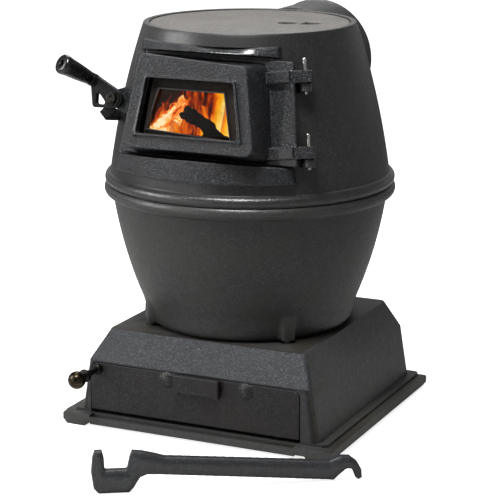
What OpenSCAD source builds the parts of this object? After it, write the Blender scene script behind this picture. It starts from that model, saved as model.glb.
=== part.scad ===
// Cast-iron potbelly stove: box base with an ash drawer, two-part barrel,
// glazed feed door, round lid, flue collar and a loose lid lifter.
// Origin on the floor under the axis of the barrel, doors facing -Y, +Z up.

/* [Base] */
// Width of the bottom plate that shows on either side of the base shell
plate_margin_w = 24; // [22:1:36]
// Depth of the bottom plate that shows before and behind the base shell
plate_margin_d = 12; // [10:1:24]
// Height of the bottom plate's upper face above the floor
plate_top = 18; // [16:0.5:22]
// Thickness of the bottom plate
plate_t = 12; // [9:0.5:13]
// Corner radius of the bottom plate
plate_corner_r = 12; // [8:1:20]
// Width of each foot block
foot_w = 42; // [34:1:48]
// Width of the base shell where it meets the bottom plate
shell_foot_w = 372; // [362:2:384]
// Width of the base shell at the bend of its walls
shell_bend_w = 346; // [342:2:352]
// Width of the flat top of the base
shell_top_w = 306; // [300:2:320]
// Depth of the base shell below the bend
shell_d = 356; // [350:2:362]
// Depth of the flat top of the base
shell_top_d = 309; // [304:1:318]
// How far the flat top sits behind the middle of the base
shell_top_shift = 4.5; // [3:0.5:8]
// Height of the bend above the floor
bend_h = 97; // [95:1:104]
// Height of the flat top above the floor
base_h = 138; // [132:1:160]
// Wall of the base castings
base_wall = 6; // [5:0.5:7]
// Radius of the ash hole in the flat top
ash_hole_r = 126; // [120:1:132]

/* [Ash drawer] */
// Wall left beside the drawer front at the bend of the shell, on both sides together
front_margin = 20; // [18:0.5:36]
// How far the drawer front sits left of the middle
front_shift = 6; // [4:0.5:7]
// Height of the drawer front
front_h = 70; // [66:0.5:71]
// Thickness of the drawer front
front_t = 8; // [6:0.5:9]
// Radius of the drawer front's upper corners
front_corner_r = 11; // [8:0.5:14]
// Gap round the drawer front
front_gap = 1.2; // [0.8:0.1:2]
// Gap between the ash pan and the shell's back wall
pan_back_gap = 31; // [25:1:80]
// How much narrower the ash pan is than the drawer front
pan_margin = 34; // [26:1:66]
// Height of the ash pan's walls
pan_h = 44; // [36:1:46]
// Sheet thickness of the ash pan
pan_wall = 1.5; // [1:0.1:2.5]
// Width of the draft slide
draft_w = 70; // [60:1:74]
// Height of the draft slide
draft_h = 28; // [24:1:32]
// How far the draft slide stands out of the drawer front
draft_proud = 10; // [7:0.5:14]
// Travel of the draft slide
draft_travel = 24; // [18:0.5:26]
// Radius of the ball knob
knob_r = 12.7; // [10:0.1:15]
// Distance from the drawer front to the middle of the ball knob
knob_reach = 61; // [50:0.5:70]

/* [Pot] */
// Radius of the pot at its foot
pot_foot_r = 150.7; // [146:0.1:153]
// Height of the short skirt at the foot of the pot
pot_skirt_h = 35; // [28:1:42]
// Radius of the pot at the top of its skirt
pot_low_r = 157; // [155:0.5:165]
// Radius of the pot just under the belt
pot_high_r = 197; // [194:0.5:199]
// Height of the pot casting
pot_h = 203; // [190:1:220]
// Rise of the pot's curve over its chord
pot_rise = 4.7; // [2:0.1:8]
// Gap between the flat top of the base and the pot
pot_gap = 2; // [1:0.1:4]
// Wall of the barrel castings
wall = 7; // [6:0.5:8.5]
// Inner radius of the grate seat
grate_seat_r = 112; // [104:1:114]
// Radius of the shaker grate
grate_r = 119; // [117:0.5:120]
// Thickness of the shaker grate
grate_t = 9; // [7:0.5:12]

/* [Upper body] */
// How far the belt stands out of the pot below it
belt_proud = 13; // [11:0.5:16]
// Height of the upper casting
upper_h = 229; // [222:1:245]
// How much wider the upper casting is than the pot, above and below the belt
waist_step = 4; // [2:0.5:6]
// Radius of the upper casting at its rim
rim_r = 151.2; // [149:0.2:156]
// Rise of the upper casting's curve over its chord
upper_rise = 5; // [3:0.1:8]
// Width of the rim round the lid
rim_w = 8.4; // [7.6:0.1:9.5]
// Depth of the recess that holds the lid
lid_recess = 8.5; // [7:0.1:11]
// Thickness of the lid
lid_t = 7; // [5:0.1:8]
// Width of the ledge under the lid
lid_ledge = 12; // [9:0.5:16]
// Length of the lifter pocket in the lid
pocket_l = 62; // [54:1:70]
// Width of the lifter pocket in the lid
pocket_w = 30; // [26:1:34]

/* [Flue collar] */
// Radius of the socket that takes the flue pipe
socket_r = 77; // [75:0.5:80]
// Depth of the socket
socket_l = 55; // [40:1:62]
// Wall of the flue collar
collar_wall = 9; // [7:0.5:11]
// Height of the collar's axis above the floor
collar_z = 489; // [484:1:492]
// Distance from the barrel's axis to the end of the collar
collar_y = 255; // [248:1:275]

/* [Door frame] */
// Height above the floor at which the door plane is set
door_z = 476; // [470:1:480]
// How far the door plane lies behind the front of the barrel there
door_setback = 39.3; // [37:0.1:42]
// Backward lean of the door plane
door_tilt = 9.8; // [9:0.1:11]
// Half width of the door frame at its middle
frame_half_w = 117.4; // [115:0.2:120]
// Taper of the door frame, per millimetre of height
frame_taper = 0.193; // [0.18:0.001:0.2]
// How far the door frame stands out of the barrel
frame_proud = 9; // [7:0.5:11]
// Height of the hood over the door
hood_h = 15; // [12:0.5:16]
// Height of the sill under the door
sill_h = 22; // [18:0.5:24]
// Height of the pocket that holds the door
pocket_h = 146; // [143:0.5:148]

/* [Feed door] */
// Thickness of the door's plate
door_plate_t = 8; // [6.5:0.5:9]
// Gap between the door's plate and its frame
door_gap = 0.5; // [0.4:0.1:1]
// How far the door's face stands out of its frame
face_out = 56; // [46:1:60]
// Half width of the door's face at its middle
face_half_w = 88.5; // [86:0.5:90]
// Height of the window opening
window_h = 76; // [64:1:80]
// Half width of the window opening at its middle
window_half_w = 69; // [60:0.5:71]
// Thickness of the window glass
glass_t = 4; // [3:0.5:5]
// Radius of the hinge pins
pin_r = 2.5; // [2:0.1:3]
// Height of each hinge lug
lug_h = 16; // [13:0.5:18]
// Distance between the two hinge lugs
lug_span = 101.6; // [94:0.2:104]

/* [Door latch] */
// Length of the grip
grip_l = 54; // [44:1:62]
// Radius of the grip at its collar
grip_r1 = 9; // [7.5:0.1:9.5]
// Radius of the grip at its end
grip_r2 = 14; // [11:0.1:16]
// Thickness of the latch arm
arm_t = 9; // [7:0.5:10]
// Length of the hook behind the door's ear
hook_l = 26; // [24:0.5:28]

/* [Lid lifter] */
// Thickness of the lifter
lifter_t = 14; // [10:0.5:16]
// Length of the straight bar of the lifter
lifter_bar_l = 226; // [200:2:236]

/* [Hidden] */

// Facets of large rings, of big bulge arcs and of small round parts
ring_fn = 144;
arc_fn = 360;
small_fn = 40;
soft_fn = 24;
// Thin slab used as one end of a hull
skin = 0.1;
// Overshoot of a cut past a face
cut = 1;
// Clearance between fixed pieces
fit = 0.3;
// Running clearance of a shaft in its bore
run = 0.06;
// Clearance between a moving piece and its neighbour
slip = 0.5;

iron = [0.16, 0.16, 0.17];
dark_iron = [0.1, 0.1, 0.11];
steel = [0.62, 0.62, 0.64];

// ---------- derived sizes and levels ----------
plate_w = shell_foot_w + 2 * plate_margin_w;
plate_d = shell_d + 2 * plate_margin_d;
front_w = shell_bend_w - front_margin;
pan_w = front_w - pan_margin;
pan_d = shell_d - base_wall - front_t + 1 - pan_back_gap;
belt_r = pot_high_r + belt_proud;
waist_r = pot_high_r + waist_step;
bead_r = belt_proud - 2.5;
pot_z = base_h + pot_gap;
skirt_z = pot_z + pot_skirt_h;
joint_z = pot_z + pot_h;
stove_h = joint_z + upper_h;
under_belt_z = joint_z - 23;
over_belt_z = joint_z + 17;
lid_z = stove_h - lid_recess;
top_plate_t = 7;
lid_r = rim_r - rim_w - slip;
mouth_r = lid_r - lid_ledge;

// ---------- bulged walls ----------
pot_low = [pot_low_r, skirt_z];
pot_high = [pot_high_r, under_belt_z];
upper_low = [waist_r, over_belt_z];
upper_high = [rim_r, stove_h];

function arc_radius(p, q, rise) = norm(q - p) ^ 2 / (8 * rise) + rise / 2;
function arc_centre(p, q, rise) =
    (p + q) / 2 - [q.y - p.y, p.x - q.x] / norm(q - p) * (arc_radius(p, q, rise) - rise);
function arc_r_at(p, q, rise, z) =
    arc_centre(p, q, rise).x
    + sqrt(arc_radius(p, q, rise) ^ 2 - (z - arc_centre(p, q, rise).y) ^ 2);
function upper_r_at(z) = arc_r_at(upper_low, upper_high, upper_rise, z);
// Points along a round corner
function corner(centre, r, from, to, steps = 8) =
    [for (i = [0:steps]) centre + r * [cos(from + (to - from) * i / steps),
                                       sin(from + (to - from) * i / steps)]];

// Area between the axis and a bulged wall, moved outwards by grow
module bulge_area(p, q, rise, grow, z0, z1) {
    intersection() {
        translate(arc_centre(p, q, rise))
            circle(r = arc_radius(p, q, rise) + grow, $fn = arc_fn);
        translate([0, z0])
            square([2 * belt_r, z1 - z0]);
    }
}

// Solid of revolution inside the upper casting's outer surface, moved out by grow
module upper_solid(grow, z0, z1) {
    rotate_extrude($fn = ring_fn)
        bulge_area(upper_low, upper_high, upper_rise, grow, z0, z1);
}

module rounded_box_area(w, d, r) {
    offset(r = r, $fn = soft_fn)
        square([w - 2 * r, d - 2 * r], center = true);
}

// Symmetric trapezium with half width half_w at y = 0 and rounded corners
module taper_area(half_w, taper, y0, y1, r = 0) {
    points = [[-half_w + taper * y0, y0], [half_w - taper * y0, y0],
              [half_w - taper * y1, y1], [-half_w + taper * y1, y1]];
    if (r > 0)
        offset(r = r, $fn = soft_fn)
            offset(delta = -r)
                polygon(points);
    else
        polygon(points);
}

// ---------- base ----------
shell_z = plate_top;
front_y = -shell_d / 2;
front_z = shell_z + slip + 5.5;
front_x = -front_shift;
opening_top = front_z + front_h + front_gap;
lip_w = front_w - 6;
lip_t = 6;
lip_drop = 4;
groove_w = 5;
foot_chamfer = 7;
edge_r = plate_t / 2;
runner_x = pan_w / 2 - 26;
runner_w = 8;
pan_z = front_z + 0.5;
shell_flange = 12;
shell_flange_t = 4;
corner_post = 22;
screw_r = 3;
screw_inset = 26;

module shell_hull(inset, lift) {
    top_y = shell_top_shift;
    hull() {
        translate([0, 0, shell_z - lift])
            linear_extrude(skin)
                rounded_box_area(shell_foot_w - 2 * inset, shell_d - 2 * inset, 8);
        translate([0, 0, bend_h - inset / 2])
            linear_extrude(skin)
                rounded_box_area(shell_bend_w - 2 * inset, shell_d - 2 * inset, 8);
        translate([0, top_y, base_h - inset - skin])
            linear_extrude(skin)
                rounded_box_area(shell_top_w - 2 * inset, shell_top_d - 2 * inset, 9);
    }
}

module at_corners(x, y) {
    for (sx = [-1, 1], sy = [-1, 1])
        translate([sx * x, sy * y, 0])
            children();
}

module base_plate() {
    foot_x = plate_w / 2 - foot_w / 2;
    foot_y = plate_d / 2 - foot_w / 2;
    color(dark_iron)
    difference() {
        union() {
            translate([0, 0, plate_top - plate_t])
                linear_extrude(plate_t)
                    rounded_box_area(plate_w, plate_d, plate_corner_r);
            for (sx = [-1, 1], sy = [-1, 1])
                translate([sx * foot_x, sy * foot_y, 0])
                    foot_block(sx);
            translate([front_x - lip_w / 2, -plate_d / 2, lip_drop])
                cube([lip_w, lip_t, plate_top - plate_t]);
            for (side = [-1, 1])
                translate([side * runner_x - runner_w / 2, front_y + 12, plate_top - cut])
                    cube([runner_w, pan_d - 40, pan_z - fit - plate_top + cut]);
        }
        // ash groove behind the front lip, and the lip's lowered top
        translate([front_x - lip_w / 2, -plate_d / 2 + lip_t, plate_top - plate_t + 3])
            cube([lip_w, groove_w, plate_t]);
        translate([front_x - lip_w / 2, -plate_d / 2 - cut, plate_top - lip_drop])
            cube([lip_w, lip_t + 2 * cut, plate_t]);
        at_corners(plate_w / 2 - screw_inset, plate_d / 2 - screw_inset)
            base_screw_hole();
    }
}

// Foot: a block whose outer and inner lower edges are bevelled
module foot_block(side) {
    h = plate_top - skin;
    half = foot_w / 2;
    translate([0, half, 0])
        rotate([90, 0, 0])
            linear_extrude(foot_w)
                polygon([[-half + foot_chamfer, 0], [half - foot_chamfer, 0], [half, foot_chamfer],
                         [half, h - 2], [half - 2, h], [-half + 2, h], [-half, h - 2],
                         [-half, foot_chamfer]]);
}

module base_screw_hole() {
    translate([0, 0, -cut])
        cylinder(r = screw_r + fit, h = plate_top + 2 * cut, $fn = small_fn);
    translate([0, 0, -cut])
        cylinder(r = 2 * screw_r + fit, h = screw_r + 3 + cut, $fn = small_fn);
}

module base_screws() {
    color(steel)
    at_corners(plate_w / 2 - screw_inset, plate_d / 2 - screw_inset) {
        translate([0, 0, 3])
            cylinder(r = 2 * screw_r, h = screw_r, $fn = small_fn);
        translate([0, 0, 3])
            cylinder(r = screw_r, h = plate_top + shell_flange_t - 3 - fit, $fn = small_fn);
    }
}

module base_shell() {
    flange_w = shell_foot_w + 2 * shell_flange;
    color(iron)
    difference() {
        union() {
            shell_hull(0, 0);
            // foot flange on the bottom plate, left open in front of the drawer
            translate([0, shell_flange / 2, shell_z])
                linear_extrude(shell_flange_t)
                    rounded_box_area(flange_w, shell_d + shell_flange, 8);
            at_corners(plate_w / 2 - screw_inset, plate_d / 2 - screw_inset)
                translate([0, 0, shell_z])
                    cylinder(r = 9, h = shell_flange_t, $fn = small_fn);
        }
        difference() {
            shell_hull(base_wall, cut);
            // keeper that the ash latch turns up behind
            translate([knob_x - 9, front_y, opening_top + 1])
                cube([18, keeper_y - front_y, 10]);
        }
        // drawer opening
        translate([0, front_y + base_wall + 2 * cut, 0])
            rotate([90, 0, 0])
                linear_extrude(base_wall + 4 * cut)
                    front_area(front_gap, shell_z - cut);
        // ash hole and the screw holes of the pot
        translate([0, 0, base_h - base_wall - cut])
            cylinder(r = ash_hole_r, h = base_wall + 2 * cut, $fn = ring_fn);
        at_lugs(base_h - base_wall - cut)
            cylinder(r = bolt_r + fit, h = base_wall + 2 * cut, $fn = small_fn);
        at_corners(plate_w / 2 - screw_inset, plate_d / 2 - screw_inset)
            translate([0, 0, shell_z - cut])
                cylinder(r = screw_r + fit, h = shell_flange_t + 2 * cut, $fn = small_fn);
    }
}

// Outline of the drawer front, grown by gap, from a given lowest level
module front_area(gap, low) {
    half = front_w / 2 + gap;
    top = front_z + front_h + gap;
    r = front_corner_r + gap;
    polygon(concat([[front_x - half, low], [front_x + half, low]],
                   corner([front_x + half - r, top - r], r, 0, 90),
                   corner([front_x - half + r, top - r], r, 90, 180)));
}

// ---------- ash drawer ----------
front_face_y = front_y - 1;
front_back_y = front_face_y + front_t;
knob_x = front_x - front_w / 2 + front_corner_r + 1.5;
knob_z = front_z + front_h - 8;
spindle_r = 3;
cam_y = front_back_y + 9;
cam_t = 6;
keeper_y = cam_y - slip;
draft_z = front_z + front_h - 13;
draft_x = 3;
stem_w = 22;
stem_h = 7;
rivet_left_x = draft_x - draft_w / 2 - 14 - slip;
rivet_right_x = draft_x + draft_w / 2 + draft_travel + 14 + slip;
rivet_head_r = 12;

// Place a piece on the drawer front, with its own +Z pointing out of the front
module on_front(x, y, z) {
    translate([x, y, z])
        rotate([90, 0, 0])
            children();
}

module drawer_front() {
    color(iron)
    difference() {
        on_front(0, front_back_y, 0)
            linear_extrude(front_t)
                front_area(0, front_z);
        // slot for the slide's stem and the air slots that the slide covers
        on_front(draft_x, front_back_y + cut, draft_z)
            linear_extrude(front_t + 2 * cut)
                translate([-stem_w / 2 - slip, -stem_h / 2 - slip])
                    square([stem_w + draft_travel + 2 * slip, stem_h + 2 * slip]);
        for (i = [0, 1])
            on_front(draft_x - draft_w / 2 + 3, front_back_y + cut, draft_z + (i == 0 ? 6.5 : -12))
                linear_extrude(front_t + 2 * cut)
                    square([draft_travel - 4, 5]);
        on_front(knob_x, front_back_y + cut, knob_z)
            cylinder(r = spindle_r + run, h = front_t + 2 * cut, $fn = small_fn);
        for (x = [rivet_left_x, rivet_right_x])
            on_front(x, front_back_y + cut, draft_z + 2)
                cylinder(r = 3 + fit, h = front_t + 2 * cut, $fn = small_fn);
        for (x = pan_rivet_xs)
            on_front(x, front_back_y + cut, pan_z + pan_h / 2)
                cylinder(r = 2 + fit, h = front_t - 2 + cut, $fn = small_fn);
    }
}

pan_rivet_xs = [-pan_w / 2 + 30, 0, pan_w / 2 - 30];

module ash_pan() {
    y0 = front_back_y;
    color(dark_iron)
    difference() {
        union() {
            translate([-pan_w / 2, y0, pan_z])
                cube([pan_w, pan_d, pan_h]);
            // rolled rim of the sheet
            for (side = [-1, 1])
                translate([side * pan_w / 2, y0, pan_z + pan_h])
                    rotate([-90, 0, 0])
                        cylinder(r = 2, h = pan_d, $fn = small_fn);
        }
        translate([-pan_w / 2 + pan_wall, y0 + pan_wall, pan_z + pan_wall])
            cube([pan_w - 2 * pan_wall, pan_d - 2 * pan_wall, pan_h + cut]);
        for (x = pan_rivet_xs)
            on_front(x, y0 + pan_wall + cut, pan_z + pan_h / 2)
                cylinder(r = 2 + fit, h = pan_wall + 2 * cut, $fn = small_fn);
    }
}

module pan_rivets() {
    color(steel)
    for (x = pan_rivet_xs)
        on_front(x, front_back_y + pan_wall + 2, pan_z + pan_h / 2) {
            cylinder(r = 2, h = front_t - 2 + pan_wall, $fn = small_fn);
            cylinder(r = 4, h = 2 - fit / 2, $fn = small_fn);
        }
}

// Low domed head on a short shank, drawn along +Z from the seat
module dome_rivet(head_r, head_h, shank_r, shank_l) {
    dome_r = (head_r ^ 2 + head_h ^ 2) / (2 * head_h);
    rotate_extrude($fn = small_fn * 2)
        intersection() {
            translate([0, head_h - dome_r])
                circle(r = dome_r, $fn = arc_fn);
            square([head_r + cut, head_h + cut]);
        }
    translate([0, 0, -shank_l])
        cylinder(r = shank_r, h = shank_l + skin, $fn = small_fn);
}

module draft_rivets() {
    color(iron)
    for (x = [rivet_left_x, rivet_right_x])
        on_front(x, front_face_y, draft_z + 2)
            dome_rivet(rivet_head_r, 4, 3, front_t + 1.5);
}

module draft_slide() {
    color(iron) {
        on_front(draft_x, front_face_y - fit, draft_z) {
            difference() {
                linear_extrude(draft_proud)
                    rounded_box_area(draft_w, draft_h, 3);
                // finger hollow under the front edge
                translate([0, -draft_h / 2, draft_proud - 4])
                    rotate([0, 90, 0])
                        cylinder(r = 4.5, h = draft_w - 16, center = true, $fn = small_fn);
            }
        }
        on_front(draft_x, front_back_y + fit, draft_z)
            linear_extrude(front_t + 2 * fit + skin)
                square([stem_w, stem_h], center = true);
    }
}

module draft_keeper() {
    color(dark_iron)
    on_front(draft_x, front_back_y + fit + 3, draft_z)
        linear_extrude(3)
            square([stem_w + 10, stem_h + 5], center = true);
}

// ---------- ash latch ----------
module ash_spindle() {
    color(dark_iron)
    on_front(knob_x, cam_y + cam_t + 1, knob_z)
        cylinder(r = spindle_r, h = cam_y + cam_t + 1 - front_face_y + knob_reach - knob_r + 4,
                 $fn = small_fn);
}

module ash_knob() {
    color([0.3, 0.27, 0.2])
    difference() {
        on_front(knob_x, front_face_y - knob_reach, knob_z)
            sphere(r = knob_r, $fn = 64);
        on_front(knob_x, front_face_y - knob_reach + knob_r + cut, knob_z)
            cylinder(r = spindle_r + run, h = 5 + cut, $fn = small_fn);
    }
}

// Turned boss at the drawer front, thin neck and flat collar behind the ball
module ash_collar() {
    reach = knob_reach - knob_r - fit;
    color(dark_iron)
    on_front(knob_x, front_face_y - fit, knob_z)
        rotate_extrude($fn = small_fn * 2)
            polygon(concat([[spindle_r + run, 0], [7.5, 0]],
                           corner([3.5, 4], 5, -20, 90, 6),
                           [[5, 13], [5, reach - 14], [9.5, reach - 12],
                            [9.5, reach - 7], [6, reach - 5], [6, reach],
                            [spindle_r + run, reach]]));
}

module ash_cam() {
    color(iron)
    on_front(knob_x, cam_y + cam_t, knob_z)
        difference() {
            linear_extrude(cam_t)
                union() {
                    circle(r = 8, $fn = small_fn);
                    translate([0, -3.5])
                        square([16, 7]);
                }
            translate([0, 0, -cut])
                cylinder(r = spindle_r + run, h = cam_t + 2 * cut, $fn = small_fn);
        }
}

// ---------- pot ----------
lug_r = pot_foot_r + 0.5;
lug_top_z = pot_z + 40;
bolt_r = 4;
ledge_z = pot_z + 10;
ledge_t = 7;
seat_z = ledge_z + ledge_t;
grate_z = seat_z + 4 + fit;

module at_lugs(z) {
    for (a = [45:90:315])
        rotate(a)
            translate([lug_r, 0, z])
                children();
}

module pot_outer_area() {
    round_r = 12;
    bulge_area(pot_low, pot_high, pot_rise, 0, skirt_z, joint_z);
    polygon(concat([[0, pot_z]],
                   corner([pot_foot_r - round_r, pot_z + round_r], round_r, -90, -8),
                   [[pot_low_r, skirt_z + skin], [0, skirt_z + skin]]));
    // lower bead of the belt
    intersection() {
        translate([belt_r - bead_r, joint_z - 8])
            circle(r = bead_r, $fn = arc_fn);
        translate([0, joint_z - 30])
            square([2 * belt_r, 30]);
    }
}

module pot() {
    color(iron)
    difference() {
        union() {
            rotate_extrude($fn = ring_fn)
                pot_outer_area();
            for (a = [45:90:315])
                rotate(a)
                    pot_lug();
        }
        rotate_extrude($fn = ring_fn) {
            bulge_area(pot_low, pot_high, pot_rise, -wall, skirt_z, joint_z + cut);
            polygon([[0, seat_z], [pot_foot_r - wall + 1, seat_z],
                     [pot_low_r - wall, skirt_z + skin], [0, skirt_z + skin]]);
            translate([0, pot_z - cut])
                square([grate_r + 6, pot_h]);
            translate([seal_r - seal_w / 2, joint_z - seal_h])
                square([seal_w, seal_h + cut]);
        }
        at_lugs(base_h - cut)
            cylinder(r = bolt_r + fit, h = 26, $fn = small_fn);
    }
}

// Foot lug: a tapering rib that carries the pot on the base
module pot_lug() {
    half = 10;
    translate([0, half, 0])
        rotate([90, 0, 0])
            linear_extrude(2 * half)
                polygon([[pot_foot_r - 8, base_h], [pot_foot_r + 8, base_h],
                         [pot_foot_r + 9, base_h + 22], [pot_foot_r + 7, lug_top_z],
                         [pot_foot_r - 2, lug_top_z], [pot_foot_r - 8, pot_z + 14]]);
}

module pot_bolts() {
    color(steel)
    at_lugs(0) {
        translate([0, 0, base_h - base_wall - 6])
            cylinder(r = 7, h = 6, $fn = 6);
        translate([0, 0, base_h - base_wall - skin])
            cylinder(r = bolt_r, h = 26, $fn = small_fn);
    }
}

seal_r = pot_high_r - 1;
seal_w = 7;
seal_h = 4;

module belt_seal() {
    color([0.75, 0.73, 0.68])
    rotate_extrude($fn = ring_fn)
        translate([seal_r - seal_w / 2 + fit / 2, joint_z - seal_h])
            square([seal_w - fit, seal_h]);
}

// ---------- grate ----------
module grate_ring() {
    color(dark_iron)
    rotate_extrude($fn = ring_fn)
        difference() {
            translate([grate_seat_r, seat_z])
                square([pot_foot_r - wall - 1 - grate_seat_r, 12]);
            translate([grate_seat_r - cut, seat_z + 4])
                square([grate_r + slip - grate_seat_r + cut, 12]);
        }
}

module shaker_grate() {
    slot_w = 8;
    pitch = 20;
    tang_w = 20;
    tang_y = -96;
    color(dark_iron) {
        difference() {
            translate([0, 0, grate_z])
                cylinder(r = grate_r, h = grate_t, $fn = ring_fn);
            for (i = [-5:5]) {
                half = sqrt((grate_r - 9) ^ 2 - (i * pitch) ^ 2);
                for (side = [-1, 1])
                    translate([i * pitch - slot_w / 2, side > 0 ? 5 : -half, grate_z - cut])
                        cube([slot_w, half - 5, grate_t + 2 * cut]);
            }
        }
        // tang that reaches down and forward to be worked from the drawer opening
        translate([-tang_w / 2, tang_y - 6, grate_z - 50])
            cube([tang_w, 14, 50 + 2]);
        translate([-tang_w / 2, tang_y - 46, grate_z - 50])
            cube([tang_w, 54, 12]);
    }
}

// ---------- upper body ----------
module upper_profile() {
    difference() {
        union() {
            bulge_area(upper_low, upper_high, upper_rise, 0, joint_z, stove_h);
            intersection() {
                translate([belt_r - bead_r + 0.5, joint_z + 7.5])
                    circle(r = bead_r - 1.5, $fn = arc_fn);
                translate([0, joint_z])
                    square([2 * belt_r, 30]);
            }
        }
        bulge_area(upper_low, upper_high, upper_rise, -wall, joint_z - cut, lid_z - top_plate_t);
        translate([0, joint_z])
            square([mouth_r, 2 * upper_h]);
        translate([0, lid_z])
            square([rim_r - rim_w, lid_recess + cut]);
    }
}

module upper_body() {
    color(iron)
    difference() {
        union() {
            rotate_extrude($fn = ring_fn)
                upper_profile();
            difference() {
                union()
                    for (s = ear_levels)
                        hinge_place(s)
                            ear_solid();
                upper_solid(-wall / 2, joint_z, stove_h);
            }
        }
        // flat that clears the door, and the opening that the door frame fills
        on_door_plane()
            translate([-belt_r, pocket_v0, 0])
                cube([2 * belt_r, pocket_h, belt_r]);
        frame_wedge(frame_half_w - frame_lip, frame_low + frame_lip, frame_high - frame_lip);
        // flue opening
        translate([0, 0, collar_z])
            rotate([-90, 0, 0])
                cylinder(r = throat_r, h = collar_y, $fn = ring_fn);
        for (s = ear_levels)
            hinge_place(s - cut)
                cylinder(r = pin_r + run, h = ear_h + 2 * cut, $fn = small_fn);
        at_collar_bolts(0, 0)
            cylinder(r = bolt_r - 1 + fit, h = collar_y, $fn = small_fn);
    }
}

// ---------- lid ----------
pocket_x = 70;
pocket_y = 15;
pocket_turn = 18;
pocket_depth = 12;

module lid() {
    color([0.3, 0.29, 0.28])
    difference() {
        union() {
            translate([0, 0, lid_z + fit])
                cylinder(r = lid_r, h = lid_t - fit, $fn = ring_fn);
            translate([pocket_x, pocket_y, lid_z + lid_t - pocket_depth - 4])
                rotate(pocket_turn)
                    linear_extrude(pocket_depth)
                        pocket_area(4);
        }
        difference() {
            translate([pocket_x, pocket_y, lid_z + lid_t - pocket_depth])
                rotate(pocket_turn)
                    linear_extrude(pocket_depth + cut)
                        pocket_area(0);
            // bridge bar that the lifter's hook catches
            translate([pocket_x - 4, pocket_y - pocket_w, lid_z + lid_t - 6])
                cube([8, 2 * pocket_w, 6]);
        }
    }
}

module pocket_area(grow) {
    r = pocket_w / 2 + grow;
    reach = pocket_l / 2 - pocket_w / 2;
    union() {
        for (side = [-1, 1])
            translate([side * reach, 0])
                circle(r = r, $fn = 64);
        square([2 * reach, 2 * r - 0.01], center = true);
    }
}

// ---------- flue collar ----------
collar_r = socket_r + collar_wall;
throat_r = socket_r - 4;
saddle_r = collar_r + 18;
saddle_t = 7;
// Where the collar starts and where its lower and upper bolt bosses end
collar_in_y = 100;
boss_low_y = 196;
boss_high_y = 158;
boss_l = 50;
collar_bolt_l = 32;

// Four places round the collar, at y_low below its axis and y_high above it
module at_collar_bolts(y_low, y_high) {
    for (a = [45:90:315])
        translate([0, a < 180 ? y_low : y_high, collar_z])
            rotate([-90, 0, 0])
                rotate(a)
                    translate([collar_r + 8.5, 0, 0])
                        children();
}

module flue_collar() {
    color(iron)
    difference() {
        union() {
            intersection() {
                upper_solid(saddle_t, joint_z + 20, stove_h - 4);
                translate([0, 0, collar_z])
                    rotate([-90, 0, 0])
                        cylinder(r = saddle_r, h = collar_y, $fn = ring_fn);
            }
            translate([0, 0, collar_z])
                rotate([-90, 0, 0])
                    rotate_extrude($fn = ring_fn)
                        collar_profile();
            at_collar_bolts(boss_low_y - boss_l, boss_high_y - boss_l)
                cylinder(r = 9, h = boss_l, $fn = small_fn);
        }
        upper_solid(fit / 2, joint_z, stove_h + 60);
        translate([0, 0, collar_z])
            rotate([-90, 0, 0])
                cylinder(r = throat_r, h = collar_y - socket_l + cut, $fn = ring_fn);
        at_collar_bolts(0, 0)
            cylinder(r = bolt_r - 1 + fit, h = collar_y, $fn = small_fn);
    }
}

// Collar wall with a stop ledge at the bottom of the socket and a bead at its mouth
module collar_profile() {
    bead = 2.5;
    difference() {
        union() {
            translate([0, collar_in_y])
                square([collar_r, collar_y - collar_in_y]);
            translate([collar_r - bead, collar_y - 2 * bead])
                circle(r = 2 * bead, $fn = arc_fn);
        }
        square([throat_r, collar_y + 20]);
        translate([0, collar_y - socket_l])
            square([socket_r, socket_l + 20]);
        translate([0, collar_y])
            square([2 * collar_r, 20]);
    }
}

module collar_bolts() {
    color(steel)
    at_collar_bolts(boss_low_y, boss_high_y) {
        translate([0, 0, fit / 2])
            cylinder(r = 5.5, h = 5, $fn = 6);
        translate([0, 0, -collar_bolt_l])
            cylinder(r = bolt_r - 1, h = collar_bolt_l + 1, $fn = small_fn);
    }
}

// ---------- door plane ----------
door_y = upper_r_at(door_z) - door_setback;
frame_high = door_z + pocket_h / 2 + hood_h - 8;
frame_low = door_z - pocket_h / 2 - sill_h - 5;
pocket_v1 = pocket_h / 2 - 7;
pocket_v0 = pocket_v1 - pocket_h;
frame_lip = 8;

// Place a piece on the door plane: x sideways, y up the slope, z out of the stove
module on_door_plane() {
    translate([0, -door_y, door_z])
        rotate([90 - door_tilt, 0, 0])
            children();
}

// Upright wedge in front of the barrel's axis
module frame_wedge(half_w, z0, z1) {
    translate([0, 0, door_z])
        rotate([90, 0, 0])
            linear_extrude(2 * belt_r)
                taper_area(half_w, frame_taper, z0 - door_z, z1 - door_z);
}

feed_v0 = -62;
feed_v1 = 48;
feed_half_w = 84;
feed_taper = 0.1;
rope_in = 5;
rope_w = 6;
rope_depth = 4;
frame_plate_t = 8;

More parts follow.
